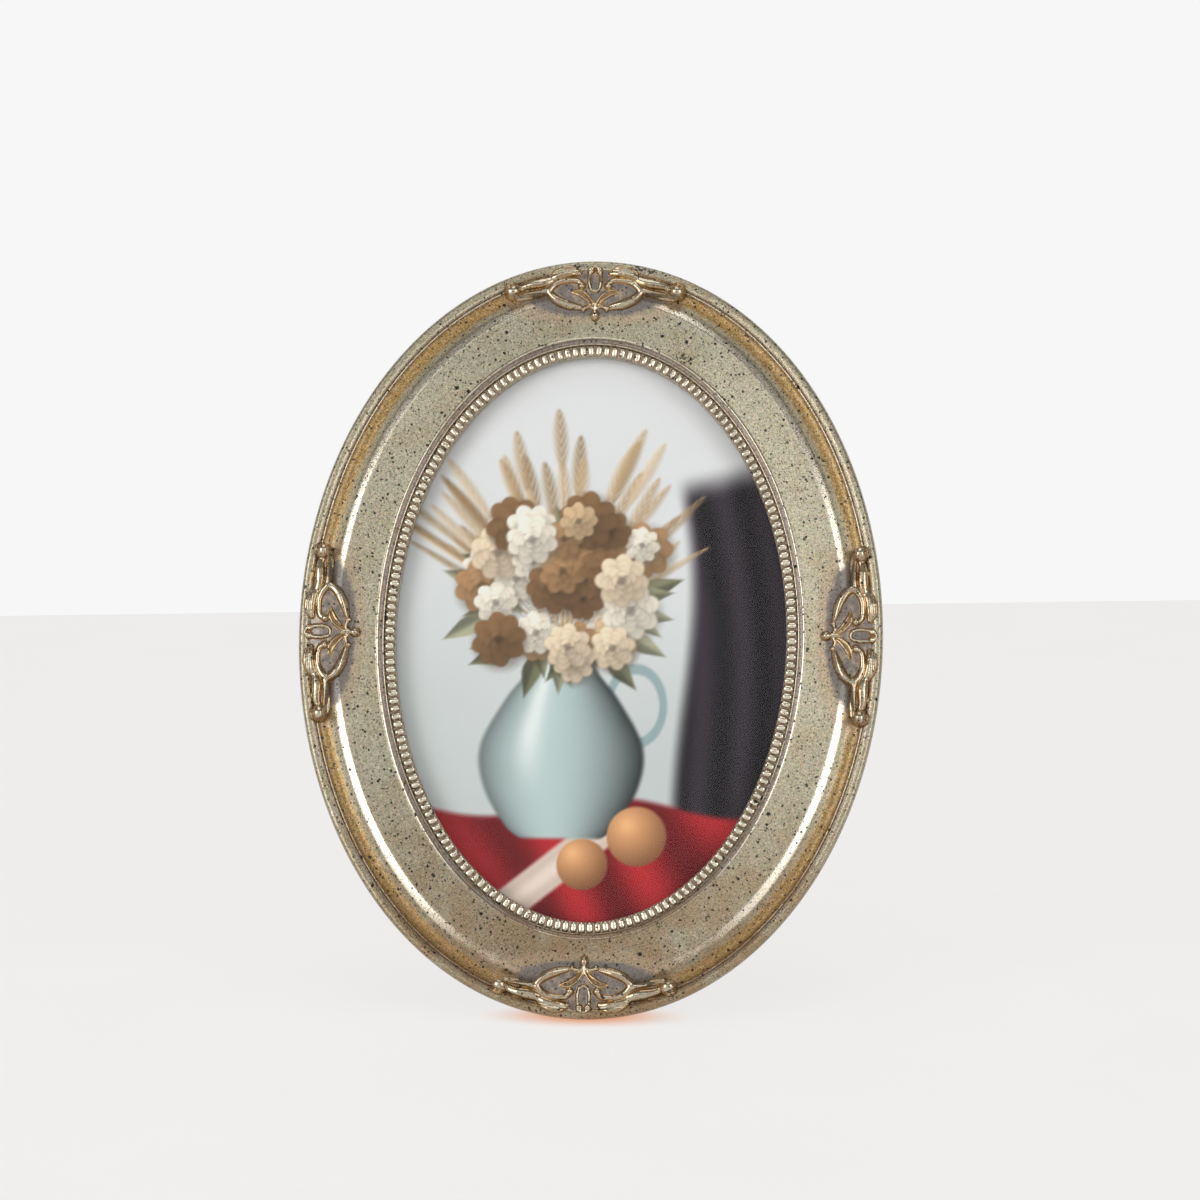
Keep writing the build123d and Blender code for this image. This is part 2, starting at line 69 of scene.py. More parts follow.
# Fineness of the moulding, and which points of its flat part are kept
SECTION_STEP = 0.18
COLUMNS = 480
FLAT_START = 7
FLAT_END = 17
FLAT_KEEP = 6
# Chords that measure a line round the oval
CHORDS = 6001

# Front of the moulding: outward from the sight edge, forward from the back, in millimetres
LIP_LINE = [(0.5, 7.5), (0.42, 10.9), (0.5, 11.2), (0.62, 11.3), (0.74, 11.1)]
CHANNEL_LINE = [(0.78, 10.6), (3.66, 10.6), (3.78, 11.4), (3.9, 12.5), (4.04, 12.82), (4.2, 12.8)]
GROOVE_LINE = [
    (4.36, 12.35), (5.22, 12.3), (5.3, 14.2), (5.42, 14.62), (5.58, 14.76), (5.78, 14.7), (5.98, 14.42),
]
BAND_LINE = [(6.2, 14.34), (10, 14.85), (14, 15.36), (16.8, 15.72)]
SHOULDER_LINE = [
    (17.3, 15.77), (17.6, 15.75), (17.9, 15.68), (18.4, 15.52), (19, 15.3), (19.5, 15.08),
    (20, 14.8), (20.6, 14.41), (21.2, 14.02), (21.8, 13.71), (22.4, 13.5),
]
COVE_LINE = [(23, 13.39), (23.6, 13.42), (24.2, 13.58), (24.8, 13.9), (25.2, 14.26), (25.5, 14.68)]
STEP_LINE = [
    (25.62, 14.88), (25.74, 14.9), (25.84, 14.7), (26.04, 14.6), (26.16, 14.95), (26.3, 15.6),
    (26.48, 15.95),
]
RIM_LINE = [
    (26.7, 16.2), (27.1, 16.42), (27.9, 16.55), (28.5, 16.4), (29, 15.9), (29.32, 15.1), (29.4, 14.3),
]
WALL_LINE = [(29.1, 12.8), (28.2, 8), (27.2, 2.4), (26.9, 0.5), (26.5, 0)]

# Paint of the moulding along the same section: place and colour, then place and roughness
# The pale stops on the fillets, the roll and the lines by the step and rim are partly rubbed paint and
# partly painted highlight
PAINT_LINE = [
    (0, "bronze"), (0.6, "champagne"), (0.8, "hollow"), (3.7, "hollow"), (3.95, "pale"),
    (4.15, "pale"), (4.4, "groove"), (5.2, "groove"), (5.38, "pale"), (5.8, "pale"), (6, "champagne"),
    (16.9, "champagne"), (17.9, "pale"), (18.9, "pale"), (19.8, "champagne"), (21.2, "champagne"),
    (22.2, "gold"), (24.7, "gold"), (25.35, "bronze"), (25.52, "pale"), (25.74, "pale"),
    (25.84, "umber"), (26.08, "umber"), (26.2, "pale"), (26.62, "pale"), (26.9, "rim"), (29.3, "rim"),
]
SATIN_LINE = [
    (0, 0.3), (3.7, 0.3), (3.95, 0.12), (4.2, 0.12), (4.4, 0.3), (5.2, 0.3), (5.4, 0.1), (5.9, 0.1),
    (6.2, 0.3), (17.2, 0.3), (17.7, 0.15), (19.8, 0.17), (21, 0.4), (25.3, 0.42), (25.5, 0.24),
    (25.74, 0.24), (25.87, 0.4), (26.2, 0.2), (26.62, 0.2), (26.9, 0.32),
]

# The row of beads, in millimetres; the places along a bead are shares of a pitch
BEAD_MIDDLE = 2.12
BEAD_RADIUS = 1.05
BEAD_STRAIGHT = 0.58
BEAD_TOP = 11.6
BEAD_FOOT = 10.65
BEAD_PLACES = (-0.5, -0.44, -0.4, -0.35, -0.27, -0.15, 0, 0.15, 0.27, 0.35, 0.4, 0.44)
BEAD_HALF_SPREAD = (-1.58, -1.55, -1.49, -1.38, -1.2, -0.95, -0.5)

# Ridges of half an ornament, in millimetres: places (along from its middle, inward from the rim's
# inner line), half widths at those places, height as a share of the half width, and how deep the
# middle is hollowed
RIDGES = {
    "outer_leaf": (
        [(23.2, 2.6), (21.4, 1.9), (19.4, 1.9), (17, 2.3), (14.8, 2.4), (12.6, 2)],
        [0.8, 1.3, 1.7, 1.8, 1.5, 1], 1.05, 0.12,
    ),
    "lobe_leaf": (
        [(13.6, 2), (11.6, 1.1), (9.2, 0.5), (6.8, 0.5), (4.8, 1.2)],
        [0.9, 1.65, 2, 1.75, 0.9], 1.05, 0.12,
    ),
    "tail": (
        [(14.4, 5.2), (18.4, 5.2), (21.9, 4.9), (24.8, 4.2), (26.6, 2.9)],
        [1.1, 1, 1, 1.05, 0.9], 1, 0,
    ),
    "rim_scroll": (
        [(4.1, 5.4), (4.9, 4), (6.8, 3.3), (10.2, 3.2), (12.8, 4), (14.6, 5.3)],
        [0.85, 0.85, 0.85, 0.95, 1.1, 1.2], 1, 0,
    ),
    "sight_scroll": (
        [(14.7, 5), (14.3, 6.9), (12.8, 8.8), (9.4, 10.7), (5.6, 11.9)],
        [1.1, 1.25, 1.5, 1.45, 0.85], 1.05, 0.12,
    ),
    "lens_leaf": (
        [(6.9, 7), (5.2, 7.4), (3.4, 8.4), (1.8, 9.9), (0.4, 12)],
        [0.55, 1, 1.15, 0.85, 0.6], 1, 0.6,
    ),
    "curl": ([(4.1, 12.5), (3.2, 12), (2, 11.8), (0.4, 12.4)], [0.6, 0.6, 0.55, 0.55], 1, 0),
    "stem": ([(0, 10.6), (0, 12), (0, 13.6)], [0.5, 0.8, 1], 1, 0),
    "petal": ([(0, 0.8), (0, 2.6), (0, 4.2), (0, 5.5)], [1.9, 2.3, 2.4, 2.1], 0.55, 0.95),
}
# Balls of half an ornament: along, inward, radius
BALLS = [(25.3, 1.9, 2.75), (4.2, 5.4, 1.25), (4.2, 12.5, 0.95), (1.2, 0.6, 1.15), (0, 14.6, 1.75)]
# The low ground between the ridges, as broad ridges
GROUNDS = [
    ([(26, 2.2), (18, 3.2), (12, 3.6), (0, 3.4)], [1.8, 3, 4.2, 4.2]),
    ([(14.4, 5.6), (11, 7.6), (5, 8.8), (0, 9.2)], [2.2, 3.8, 4.4, 4.6]),
    ([(0, 8), (0, 13.8)], [3.8, 2]),
]
# An ornament's grid: its reach either way along, and inward from the rim's inner line, its points
# along and inward, and the thickness of the casting drawn from it
ORNAMENT_HALF_LENGTH = 28.0
ORNAMENT_REACH = (-1.6, 17.2)
ORNAMENT_GRID = (351, 118)
SHELL_THICKNESS = 0.3
# Extra length of the ornaments at the top and bottom
END_STRETCH = 1.05
# The grey wash's oval about an ornament: its middle inward from the rim, half length, half width
WASH_OVAL = (5.0, 25.5, 10.5)
# Dark stains in the old paint: right and up on the face, and radius
STAINS = [
    (26.4, 85.6, 1.9), (29.2, 84.6, 1.7), (9.5, 112.8, 2.0), (13.4, 112.2, 2.2), (18.0, 111.4, 1.8),
    (-5.0, 113.2, 1.6),
]

# The print: half its height less half its width, its thickness, and its points across and up
PRINT_LONGER = 25.5
PRINT_THICKNESS = 0.3
PRINT_GRID = (240, 356)

# The painted jug's half width by height, and the middle of jug and flowers, in half openings
JUG_LEVELS = (-0.72, -0.66, -0.52, -0.38, -0.22, -0.12, -0.06, -0.02)
JUG_WIDTHS = (0.13, 0.20, 0.275, 0.285, 0.20, 0.125, 0.12, 0.15)
JUG_MIDDLE = -0.10
# Tones of the painted flowers, and the number and size of the petals in each of their rings
FLOWER_TONES = [(240, 230, 212), (228, 208, 178), (206, 176, 138), (172, 134, 94), (132, 100, 68)]
PETAL_RINGS = ((8, 1.0), (7, 0.76), (6, 0.54), (4, 0.32))

# Lamps: name, place, width and power; all point at a height over the table
LAMPS = [
    ("right_lamp", (0.95, -0.90, 0.38), 0.72, 6.4),
    ("left_lamp", (-0.88, -0.98, 0.36), 0.72, 8.8),
    ("top_lamp", (0.0, -0.2, 1.5), 0.8, 5.2),
]
LAMP_AIM = 0.1


def linear(share):
    """Linear light of display values from 0 to 1."""
    return np.where(share <= 0.04045, share / 12.92, ((share + 0.055) / 1.055) ** 2.4)


def srgb(*display):
    """Linear colour of three display numbers from 0 to 255."""
    return tuple(float(part) for part in linear(np.array(display, float) / 255))


def colour(description, *display):
    """Colour property from display numbers."""
    look = {"subtype": "COLOR", "size": 3, "min": 0, "max": 1}
    return FloatVectorProperty(description=description, default=srgb(*display), **look)


def metres(description, default):
    """Length property."""
    return FloatProperty(description=description, unit="LENGTH", default=default)


def degrees(description, default):
    """Angle property from degrees."""
    return FloatProperty(description=description, subtype="ANGLE", default=math.radians(default))


class OvalSettings(PropertyGroup):
    """Place and size of the oval."""

    centre: FloatVectorProperty(
        description="Middle of the moulding's flat back", default=(0.0, 0.032914, 0.107838)
    )
    lean: degrees("How far the frame leans back", 16)
    half_width: metres("Half the oval's width along the middle of the band", 0.0734)
    half_height: metres("Half the oval's height along the middle of the band", 0.1005)
    band_width: metres("From the sight edge to the rim", 0.0294)
    bead_count: IntProperty(description="Number of beads round the sight edge", default=196)
    rebate_half_width: metres("Half the width of the recess in the back", 0.064)
    rebate_half_height: metres("Half the height of that recess", 0.0895)


class PaintSettings(PropertyGroup):
    """Colours of the antique paint."""

    champagne: colour("Flat band of the moulding", 181, 174, 150)
    # pale is also the painted highlight on the fillets, the roll, the lines by the step and the bead
    # tops
    pale: colour("Rubbed edges and beads", 232, 222, 202)
    gold: colour("Cove of the moulding", 156, 124, 66)
    rose: colour("Rosy patches in the champagne", 176, 152, 124)
    bronze: colour("Shaded hollows and the outer wall", 138, 106, 66)
    hollow: colour("Between the beads", 148, 130, 112)
    rim: colour("Rim of the moulding", 164, 156, 132)
    groove: colour("Groove outside the beads", 172, 160, 152)
    wash: colour("Wash round the ornaments", 106, 98, 92)
    umber: colour("Old paint in the deepest lines", 104, 88, 64)
    speck: colour("Spattered dots", 34, 31, 28)


class BackSettings(PropertyGroup):
    """Colours of the back and its fittings."""

    flock: colour("Flocked cover of the back and leg", 24, 24, 26)
    nap: colour("Lighter strands in the flock", 58, 58, 60)
    card: colour("Backing card", 168, 164, 156)
    board: colour("Pressed board", 112, 84, 58)
    nickel: colour("Plated hinge, rivets and hanger", 196, 192, 184)
    zinc: colour("Plated turn buttons and screws", 176, 178, 180)


class StageSettings(PropertyGroup):
    """Table, wall and camera."""

    wall: colour("Wall behind the table", 247, 247, 247)
    table: colour("Table top", 248, 247, 246)
    streak: colour("Darker streaks in the table top", 243, 238, 236)
    # Painted warm bounce light from the frame, laid on the table's colour
    painted_glow: colour("Warm tint on the table under the frame", 240, 148, 60)
    elevation: degrees("Height angle of the camera", 8)
    azimuth: degrees("Turn of the camera round the frame", 3.5)
    distance: metres("From the camera to the frame", 1.055)
    width: metres("Width of the picture at the frame", 0.361)


class FrameSettings(PropertyGroup):
    """All settings of the picture frame."""

    oval: PointerProperty(type=OvalSettings)
    paint: PointerProperty(type=PaintSettings)
    back: PointerProperty(type=BackSettings)
    stage: PointerProperty(type=StageSettings)


def face_axes(oval):
    """Unit vectors of the leaning face: to the right, up along it, and out of its front."""
    side = np.array((1.0, 0.0, 0.0))
    up = np.array((0.0, math.sin(oval.lean), math.cos(oval.lean)))
    return side, up, np.cross(side, up)


def on_face(oval, right, up, out):
    """Points of the row frame in metres, from distances on the face in millimetres."""
    ways = zip((right, up, out), face_axes(oval))
    steps = [distance[..., None] * MM * axis for distance, axis in ways]
    return np.array(oval.centre) + steps[0] + steps[1] + steps[2]


def band_line(oval, angle, across):
    """Places on the face, in millimetres, of a line at a distance outside the sight edge.
    The middle oval's point at the angle moves along that oval's outward normal."""
    half_width = oval.half_width / MM
    half_height = oval.half_height / MM
    normal_x = half_height * np.cos(angle)
    normal_y = half_width * np.sin(angle)
    move = (across - oval.band_width / MM / 2) / np.hypot(normal_x, normal_y)
    return half_width * np.cos(angle) + move * normal_x, half_height * np.sin(angle) + move * normal_y


def run_round(oval, start, across):
    """Angles once round from a start angle, and how far the line at that distance has run there:
    the lengths of many short chords added up."""
    turn = np.linspace(0, FULL_TURN, CHORDS)
    x, y = band_line(oval, start + turn, across)
    return turn, np.concatenate(([0.0], np.cumsum(np.hypot(np.diff(x), np.diff(y)))))


def angles_along(oval, start, across, lengths):
    """Angles at which the line at that distance has run these lengths from a start angle."""
    turn, run = run_round(oval, start, across)
    return start + np.sign(lengths) * np.interp(np.abs(lengths), run, turn)


def section(points, step):
    """A section line resampled at even steps, its corners slightly rounded.
    The line is cut very finely, averaged over a short window, and thinned."""
    cuts, window = 8, 7
    corners = np.array(points, float)
    run = np.concatenate(([0.0], np.cumsum(np.linalg.norm(np.diff(corners, axis=0), axis=1))))
    fine = np.arange(0, run[-1], step / cuts)
    dense = np.stack([np.interp(fine, run, corners[:, i]) for i in range(2)], -1)
    padded = np.vstack([np.repeat(dense[:1], window, 0), dense, np.repeat(dense[-1:], window, 0)])
    kernel = np.hanning(2 * window + 3)[1:-1]
    kernel = kernel / kernel.sum()
    smooth = np.stack([np.convolve(padded[:, i], kernel, "valid") for i in range(2)], -1)
    return np.vstack([corners[:1], smooth[cuts // 2 : -cuts // 2 : cuts], corners[-1:]])


def curve_through(points, count):
    """Even samples of a smooth line through points: cubic pieces whose slope at each point is
    that of the chord between its neighbours."""
    knots = np.array(points, float)
    slopes = np.gradient(knots, axis=0)
    place = np.linspace(0, len(knots) - 1, count)
    index = np.minimum(place.astype(int), len(knots) - 2)
    t = (place - index)[:, None]
    ends = (2 * t**3 - 3 * t**2 + 1) * knots[index] + (3 * t**2 - 2 * t**3) * knots[index + 1]
    bends = (t**3 - 2 * t**2 + t) * slopes[index] + (t**3 - t**2) * slopes[index + 1]
    return ends + bends


def ease(low, high, value):
    """Rises smoothly from 0 at low to 1 at high."""
    t = np.clip((value - low) / (high - low), 0, 1)
    return t * t * (3 - 2 * t)


def face_line():
    """The whole front line, its shoulder, cove and rim drawn as smooth curves."""
    hollow = curve_through(SHOULDER_LINE + COVE_LINE, 90)
    rim = curve_through(RIM_LINE, 40)
    return np.vstack([LIP_LINE, CHANNEL_LINE, GROOVE_LINE, BAND_LINE, hollow, STEP_LINE, rim])


def face_height(across):
    """Height of the moulding's front over its back, outside the thin lines by the beads."""
    line = face_line()
    outer = line[line[:, 0] >= 6.0]
    return np.interp(across, outer[:, 0], outer[:, 1])


def make_mesh(name, points, faces, values=None, colours=None):
    """Smooth-shaded object from points in metres and faces, with values kept at its points."""
    mesh = bpy.data.meshes.new(name)
    mesh.from_pydata(points.reshape(-1, 3), [], faces)
    mesh.update()
    kinds = ((values, "FLOAT", "value"), (colours, "FLOAT_COLOR", "color"))
    for fields, kind, member in kinds:
        for key, field in (fields or {}).items():
            attribute = mesh.attributes.new(key, kind, "POINT")
            attribute.data.foreach_set(member, np.asarray(field, np.float32).ravel())
    mesh.shade_smooth()
    made = bpy.data.objects.new(name, mesh)
    bpy.context.scene.collection.objects.link(made)
    return made


def grid_faces(rows, columns, closed=False):
    """Corner numbers of the quads of a grid, joined to its start both ways where it is closed."""
    index = np.arange(rows * columns).reshape(rows, columns)
    if closed:
        index = np.pad(index, ((0, 1), (0, 1)), mode="wrap")
    corners = (index[:-1, :-1], index[:-1, 1:], index[1:, 1:], index[1:, :-1])
    return np.stack(corners, -1).reshape(-1, 4)


def outward(points, faces, direction=None):
    """The faces turned so that they enclose a positive volume, or look along a direction."""
    flat = points.reshape(-1, 3)
    a, b, c = (flat[faces[:, i]] for i in range(3))
    facing = np.cross(b - a, c - a)
    size = ((a - flat.mean(0)) * facing if direction is None else facing @ direction).sum()
    return faces if size > 0 else faces[:, ::-1]


class Value:
    """A socket of a tree of nodes, in sums written as Python."""

    def __init__(self, nodes, socket):
        self.nodes = nodes
        self.socket = socket

    def output(self, key):
        """Another output of the same node."""
        return Value(self.nodes, self.socket.node.outputs[key])

    def sum(self, operation, *others):
        """Math node of this value and others."""
        return self.nodes.math(operation, self, *others)

    def __add__(self, other):
        return self.sum("ADD", other)

    def __mul__(self, other):
        return self.sum("MULTIPLY", other)

    def __sub__(self, other):
        return self.sum("SUBTRACT", other)

    def __rsub__(self, other):
        return self.nodes.math("SUBTRACT", other, self)

    __radd__ = __add__
    __rmul__ = __mul__

    def below(self, limit):
        """1 where this value is less than the limit."""
        return self.sum("LESS_THAN", limit)

    def most(self, other):
        """The larger of two values."""
        return self.sum("MAXIMUM", other)

    def rise(self, low, high):
        """Smooth rise from 0 at low to 1 at high, or a fall where low is the higher."""
        if low > high:
            return 1 - self.rise(high, low)
        values = {"Value": self, "From Min": low, "From Max": high}
        return self.nodes.node("MapRange", values, interpolation_type="SMOOTHSTEP")


class Nodes:
    """A tree of shader nodes that is written as sums."""

    def __init__(self, tree):
        self.tree = tree

    def feed(self, socket, value):
        """Link, colour or number into a socket."""
        if isinstance(value, Value):
            self.tree.links.new(value.socket, socket)
        elif socket.type == "RGBA":
            socket.default_value = (*value, 1.0)
        else:
            socket.default_value = value

    def node(self, kind, values=None, output=0, **settings):
        """New shader node of a kind: its settings first, then its sockets; returns one output."""
        made = self.tree.nodes.new(f"ShaderNode{kind}")
        for key, value in settings.items():
            setattr(made, key, value)
        for key, value in (values or {}).items():
            self.feed(made.inputs[key], value)
        return Value(self, made.outputs[output])

    def math(self, operation, *values):
        """Math node of values."""
        return self.node("Math", dict(enumerate(values)), operation=operation)

    def vector(self, operation, *values, output=0):
        """Vector Math node of values."""
        return self.node("VectorMath", dict(enumerate(values)), output, operation=operation)

    def ramp(self, value, stops):
        """Colour of a value through stops, as (place, colour)."""
        made = self.node("ValToRGB", {0: value})
        elements = made.socket.node.color_ramp.elements
        elements.remove(elements[-1])
        for number, (place, shade) in enumerate(stops):
            element = elements.new(place) if number else elements[0]
            element.position = place
            element.color = (*shade, 1.0)
        return made

    def mix(self, factor, first, second, blend="MIX"):
        """First colour turning into the second as the factor rises."""
        values = {0: factor, 6: first, 7: second}
        return self.node("Mix", values, 2, data_type="RGBA", blend_type=blend)

    def attribute(self, name, output="Fac"):
        """Value kept at the mesh's points."""
        return self.node("Attribute", output=output, attribute_name=name)

    def place(self):
        """Place in the row frame."""
        return self.node("TexCoord", output="Object")

    def noise(self, size, detail=2.0, roughness=0.5):
        """Cloudy noise whose features are about this large, in millimetres."""
        values = {"Vector": self.place(), "Scale": 1 / (size * MM), "Detail": detail}
        return self.node("TexNoise", {**values, "Roughness": roughness})

    def dots(self, cell, small, large, share):
        """Scattered dots: one in a share of the cells, with radii in millimetres between two
        sizes. The place is shaken by a fine noise, which makes their outlines uneven."""
        shake = self.vector("SUBTRACT", self.noise(small * 4).output("Color"), (0.5, 0.5, 0.5))
        scaled = self.node("VectorMath", {0: shake, "Scale": small * 3.5 * MM}, operation="SCALE")
        moved = self.vector("ADD", self.place(), scaled)
        spread = self.node("TexVoronoi", {"Vector": moved, "Scale": 1 / (cell * MM)}, "Distance")
        parts = self.node("SeparateColor", {0: spread.output("Color")})
        pick = parts.output(1)
        radius = pick * pick * ((large - small) / cell) + small / cell
        return (spread - radius).rise(0.03, -0.03) * parts.below(share)

    def bump(self, height, distance, strength=1.0):
        """Surface direction from a height field, with its full height in millimetres."""
        return self.node("Bump", {"Height": height, "Distance": distance * MM, "Strength": strength})


class Surface(Nodes):
    """A material whose principled shader is fed by nodes."""

    def __init__(self, name, **constants):
        self.material = bpy.data.materials.new(name)
        self.material.use_nodes = True
        super().__init__(self.material.node_tree)
        self.shader = next(node for node in self.tree.nodes if node.type == "BSDF_PRINCIPLED")
        self.set(**constants)

    def set(self, **values):
        """Feeds sockets of the principled shader and gives its material."""
        for key, value in values.items():
            self.feed(self.shader.inputs[key.replace("_", " ")], value)
        return self.material

    def cover(self, factor, other):
        """Shows another shader in place of the principled one as the factor rises."""
        blend = self.node("MixShader", {0: factor, 1: Value(self, self.shader.outputs[0]), 2: other})
        output = next(node for node in self.tree.nodes if node.type == "OUTPUT_MATERIAL")
        self.feed(output.inputs["Surface"], blend)


def spatter(look, base, speck, reach=1.0):
    """Base colour under three sizes of spattered dots, as far as they reach."""
    fine = look.dots(0.68, 0.11, 0.25, 0.8) * 0.78
    middle = look.dots(1.5, 0.18, 0.46, 0.92) * 0.92
    coarse = look.dots(4.0, 0.3, 0.66, 0.6)
    return look.mix(fine.most(middle).most(coarse) * reach, base, speck)


def mottle(look, base, strength):
    """Base colour broken up by grains of many tones, from lighter to darker and pinkish to
    greenish: a fine noise in three colours laid over it."""
    fine = look.noise(0.5, 3.0, 0.75)
    tones = look.mix(0.65, fine.output("Color"), fine)
    clear = look.node("BrightContrast", {"Color": tones, "Contrast": 1.8})
    return look.mix(strength, base, clear, "OVERLAY")


def antique_paint(paint):
    """Satin champagne paint of the moulding: its tone follows the lines of the section."""
    look = Surface("antique_paint", Coat_Weight=0.3, Coat_Roughness=0.12)
    across = look.attribute("across")
    share = across * (1 / BAND)
    lines = look.ramp(share, [(place / BAND, getattr(paint, tone)) for place, tone in PAINT_LINE])
    cloud = look.noise(11.0, 3.0)
    warm = look.mix(cloud.rise(0.45, 0.75) * 0.3, lines, paint.gold)
    grain = look.noise(0.55, 3.0, 0.7)
    light = look.mix(grain.rise(0.5, 0.68) * 0.4, warm, paint.pale)
    dark = look.mix(grain.rise(0.5, 0.34) * 0.4, light, paint.umber)
    rosy = look.mix(look.noise(1.3).rise(0.52, 0.72) * 0.35, dark, paint.rose)
    # Painted shade by height over the table: the flat band darkened near its top and bottom, and bronze
    # mixed in low down
    parts = look.node("SeparateXYZ", {0: look.place()})
    aside = parts.sum("ABSOLUTE")
    height = parts.output(2)
    painted_shade = height.rise(0.11, 0.04).most(height.rise(0.175, 0.205)) * across.rise(21.5, 19.5)
    # The painted shade multiplies the paint darker and keeps its hue
    with_painted_shade = look.mix(painted_shade * 0.3, rosy, (0.5, 0.5, 0.48), "MULTIPLY")
    low = height.rise(0.085, 0.0) * cloud.rise(0.2, 0.55)
    bronzed_low = look.mix(low * 0.7, with_painted_shade, paint.bronze)
    # Painted highlight: the roll and the outer fillet lightened to near white in the lower half, at the
    # sides
    roll = across.rise(17.3, 17.8) * across.rise(20.2, 19.5)
    fillet = across.rise(5.3, 5.45) * across.rise(6.05, 5.85)
    painted_highlight = roll.most(fillet) * height.rise(0.125, 0.1) * aside.rise(0.034, 0.054)
    highlight_white = [min(1.0, 1.18 * part) for part in paint.pale]
    # The painted highlight mixed over the paint
    with_painted_highlight = look.mix(painted_highlight * 0.9, bronzed_low, highlight_white)
    # Grey wash and its halo round the ornaments, then the wall, the stains and the specks
    ragged = (look.noise(2.2, 4.0) - 0.5) * 1.1
    near = (look.attribute("halo") + ragged).rise(0.3, 0.9)
    halo = look.mix(near * 0.5, with_painted_highlight, paint.rose)
    cover = (look.attribute("wash") + ragged * 0.6).rise(0.25, 0.75)
    washed = look.mix(cover * 0.95, halo, paint.wash)
    behind = look.attribute("wall")
    grainy = mottle(look, look.mix(behind, washed, paint.bronze), 0.5)
    stain = (look.attribute("stain") + (look.noise(0.8, 3.0) - 0.5) * 3.0).rise(0.75, 0.95)
    stained = look.mix(stain * 0.85, grainy, paint.speck)
    shine = look.ramp(share, [(place / BAND, (rough,) * 3) for place, rough in SATIN_LINE])
    return look.set(
        Base_Color=spatter(look, stained, paint.speck, 1 - behind * 0.8),
        Metallic=(1 - cover * 0.8) * 0.75,
        Roughness=cover * 0.2 + grain * 0.12 + shine,
        Normal=look.bump(grain + look.noise(5.0, 1.0) * 0.6, 0.06, 0.6),
    )


def ornament_paint(paint):
    """Paint of the ornaments: a patchy wash on the ground, bronze at a ridge's foot, then gold and
    rose up to champagne on its top."""
    look = Surface("ornament_paint", Coat_Weight=0.6, Coat_Roughness=0.08)
    stops = [(0.4, paint.bronze), (0.6, paint.bronze), (0.76, paint.gold), (0.94, paint.rose)]
    stops += [(1.0, paint.champagne)]
    mark = look.attribute("mark")
    worn = mark + (look.noise(1.4) - 0.5) * 0.25
    patch = look.noise(2.2, 3.0).rise(0.42, 0.66) * 0.55
    ground = look.mix(patch, paint.wash, paint.rose)
    tone = look.mix(worn.rise(0.33, 0.46), ground, look.ramp(worn, stops))
    relief = look.noise(0.9) + look.noise(2.6, 1.0) * 1.5
    return look.set(
        Base_Color=spatter(look, mottle(look, tone, 0.3), paint.speck),
        Metallic=mark.rise(0.35, 0.6) * 0.65 + 0.15,
        Roughness=0.36 - mark * 0.2,
        Normal=look.bump(relief, 0.06, 0.4),
    )


def bead_paint(paint):
    """Paint of the beading: a dull hollow between the beads, rose, champagne and pale on them, the pale
    on their tops partly a painted highlight.
    """
    look = Surface("bead_paint", Coat_Weight=0.4, Coat_Roughness=0.1, Metallic=0.8)
    # The pale stop on the bead tops is partly a painted highlight
    stops = [(0.0, paint.hollow), (0.35, paint.rose), (0.68, paint.champagne), (0.95, paint.pale)]
    worn = look.attribute("rise") + (look.noise(1.2, 3.0) - 0.5) * 0.5
    return look.set(
        Base_Color=spatter(look, look.ramp(worn, stops), paint.speck),
        Roughness=look.noise(1.0, 1.0) * 0.2 + 0.12,
        Normal=look.bump(look.noise(0.8), 0.08, 0.6),
    )


def print_paper():
    """Semi-matt paper that carries the painted picture."""
    look = Surface("print_paper", Roughness=0.5, Specular_IOR_Level=0.15)
    grain = look.noise(0.25).rise(0.3, 0.7) * 0.06
    return look.set(Base_Color=look.mix(grain, look.attribute("picture", "Color"), (0.02, 0.02, 0.02)))


def clear_glass():
    """Thin clear glass that lets lamps through."""
    look = Surface("clear_glass", Roughness=0.0, IOR=1.2, Transmission_Weight=1.0)
    path = look.node("LightPath", output="Is Shadow Ray")
    look.cover(path.most(path.output("Is Diffuse Ray")), look.node("BsdfTransparent"))
    return look.material


def flock_cloth(back):
    """Short black flock."""
    look = Surface("black_flock", Roughness=0.95, Sheen_Weight=0.35, Sheen_Roughness=0.5)
    nap = look.noise(0.5, 3.0)
    return look.set(
        Base_Color=look.mix(nap.rise(0.3, 0.75) * 0.35, back.flock, back.nap),
        Normal=look.bump(nap + look.noise(6.0) * 0.5, 0.15, 0.6),
    )


def plain_board(name, tone, fibre):
    """Pressed board or card with faint fibres."""
    look = Surface(name, Roughness=0.85)
    fibres = look.noise(fibre, 4.0, 0.6).rise(0.35, 0.75)
    return look.set(Base_Color=look.mix(fibres * 0.6, tone, [0.6 * part for part in tone]))


def plated_metal(name, tone, roughness):
    """Plated sheet or wire with faint wear."""
    look = Surface(name, Metallic=1.0)
    wear = look.noise(3.0, 3.0)
    worn = look.mix(wear.rise(0.5, 0.8) * 0.35, tone, [0.55 * part for part in tone])
    return look.set(Base_Color=worn, Roughness=wear * 0.2 + roughness)


def dress(material, slot, *nodes):
    """CAD nodes keep their shapes and get this material."""
    for node in nodes:
        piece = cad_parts[node]
        piece.data.materials.clear()
        piece.data.materials.append(material)


def stand_in(piece, material, node):
    """A new piece rides on the frame in place of a CAD node."""
    piece.data.materials.append(material)
    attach(piece, "frame")
    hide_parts(node)


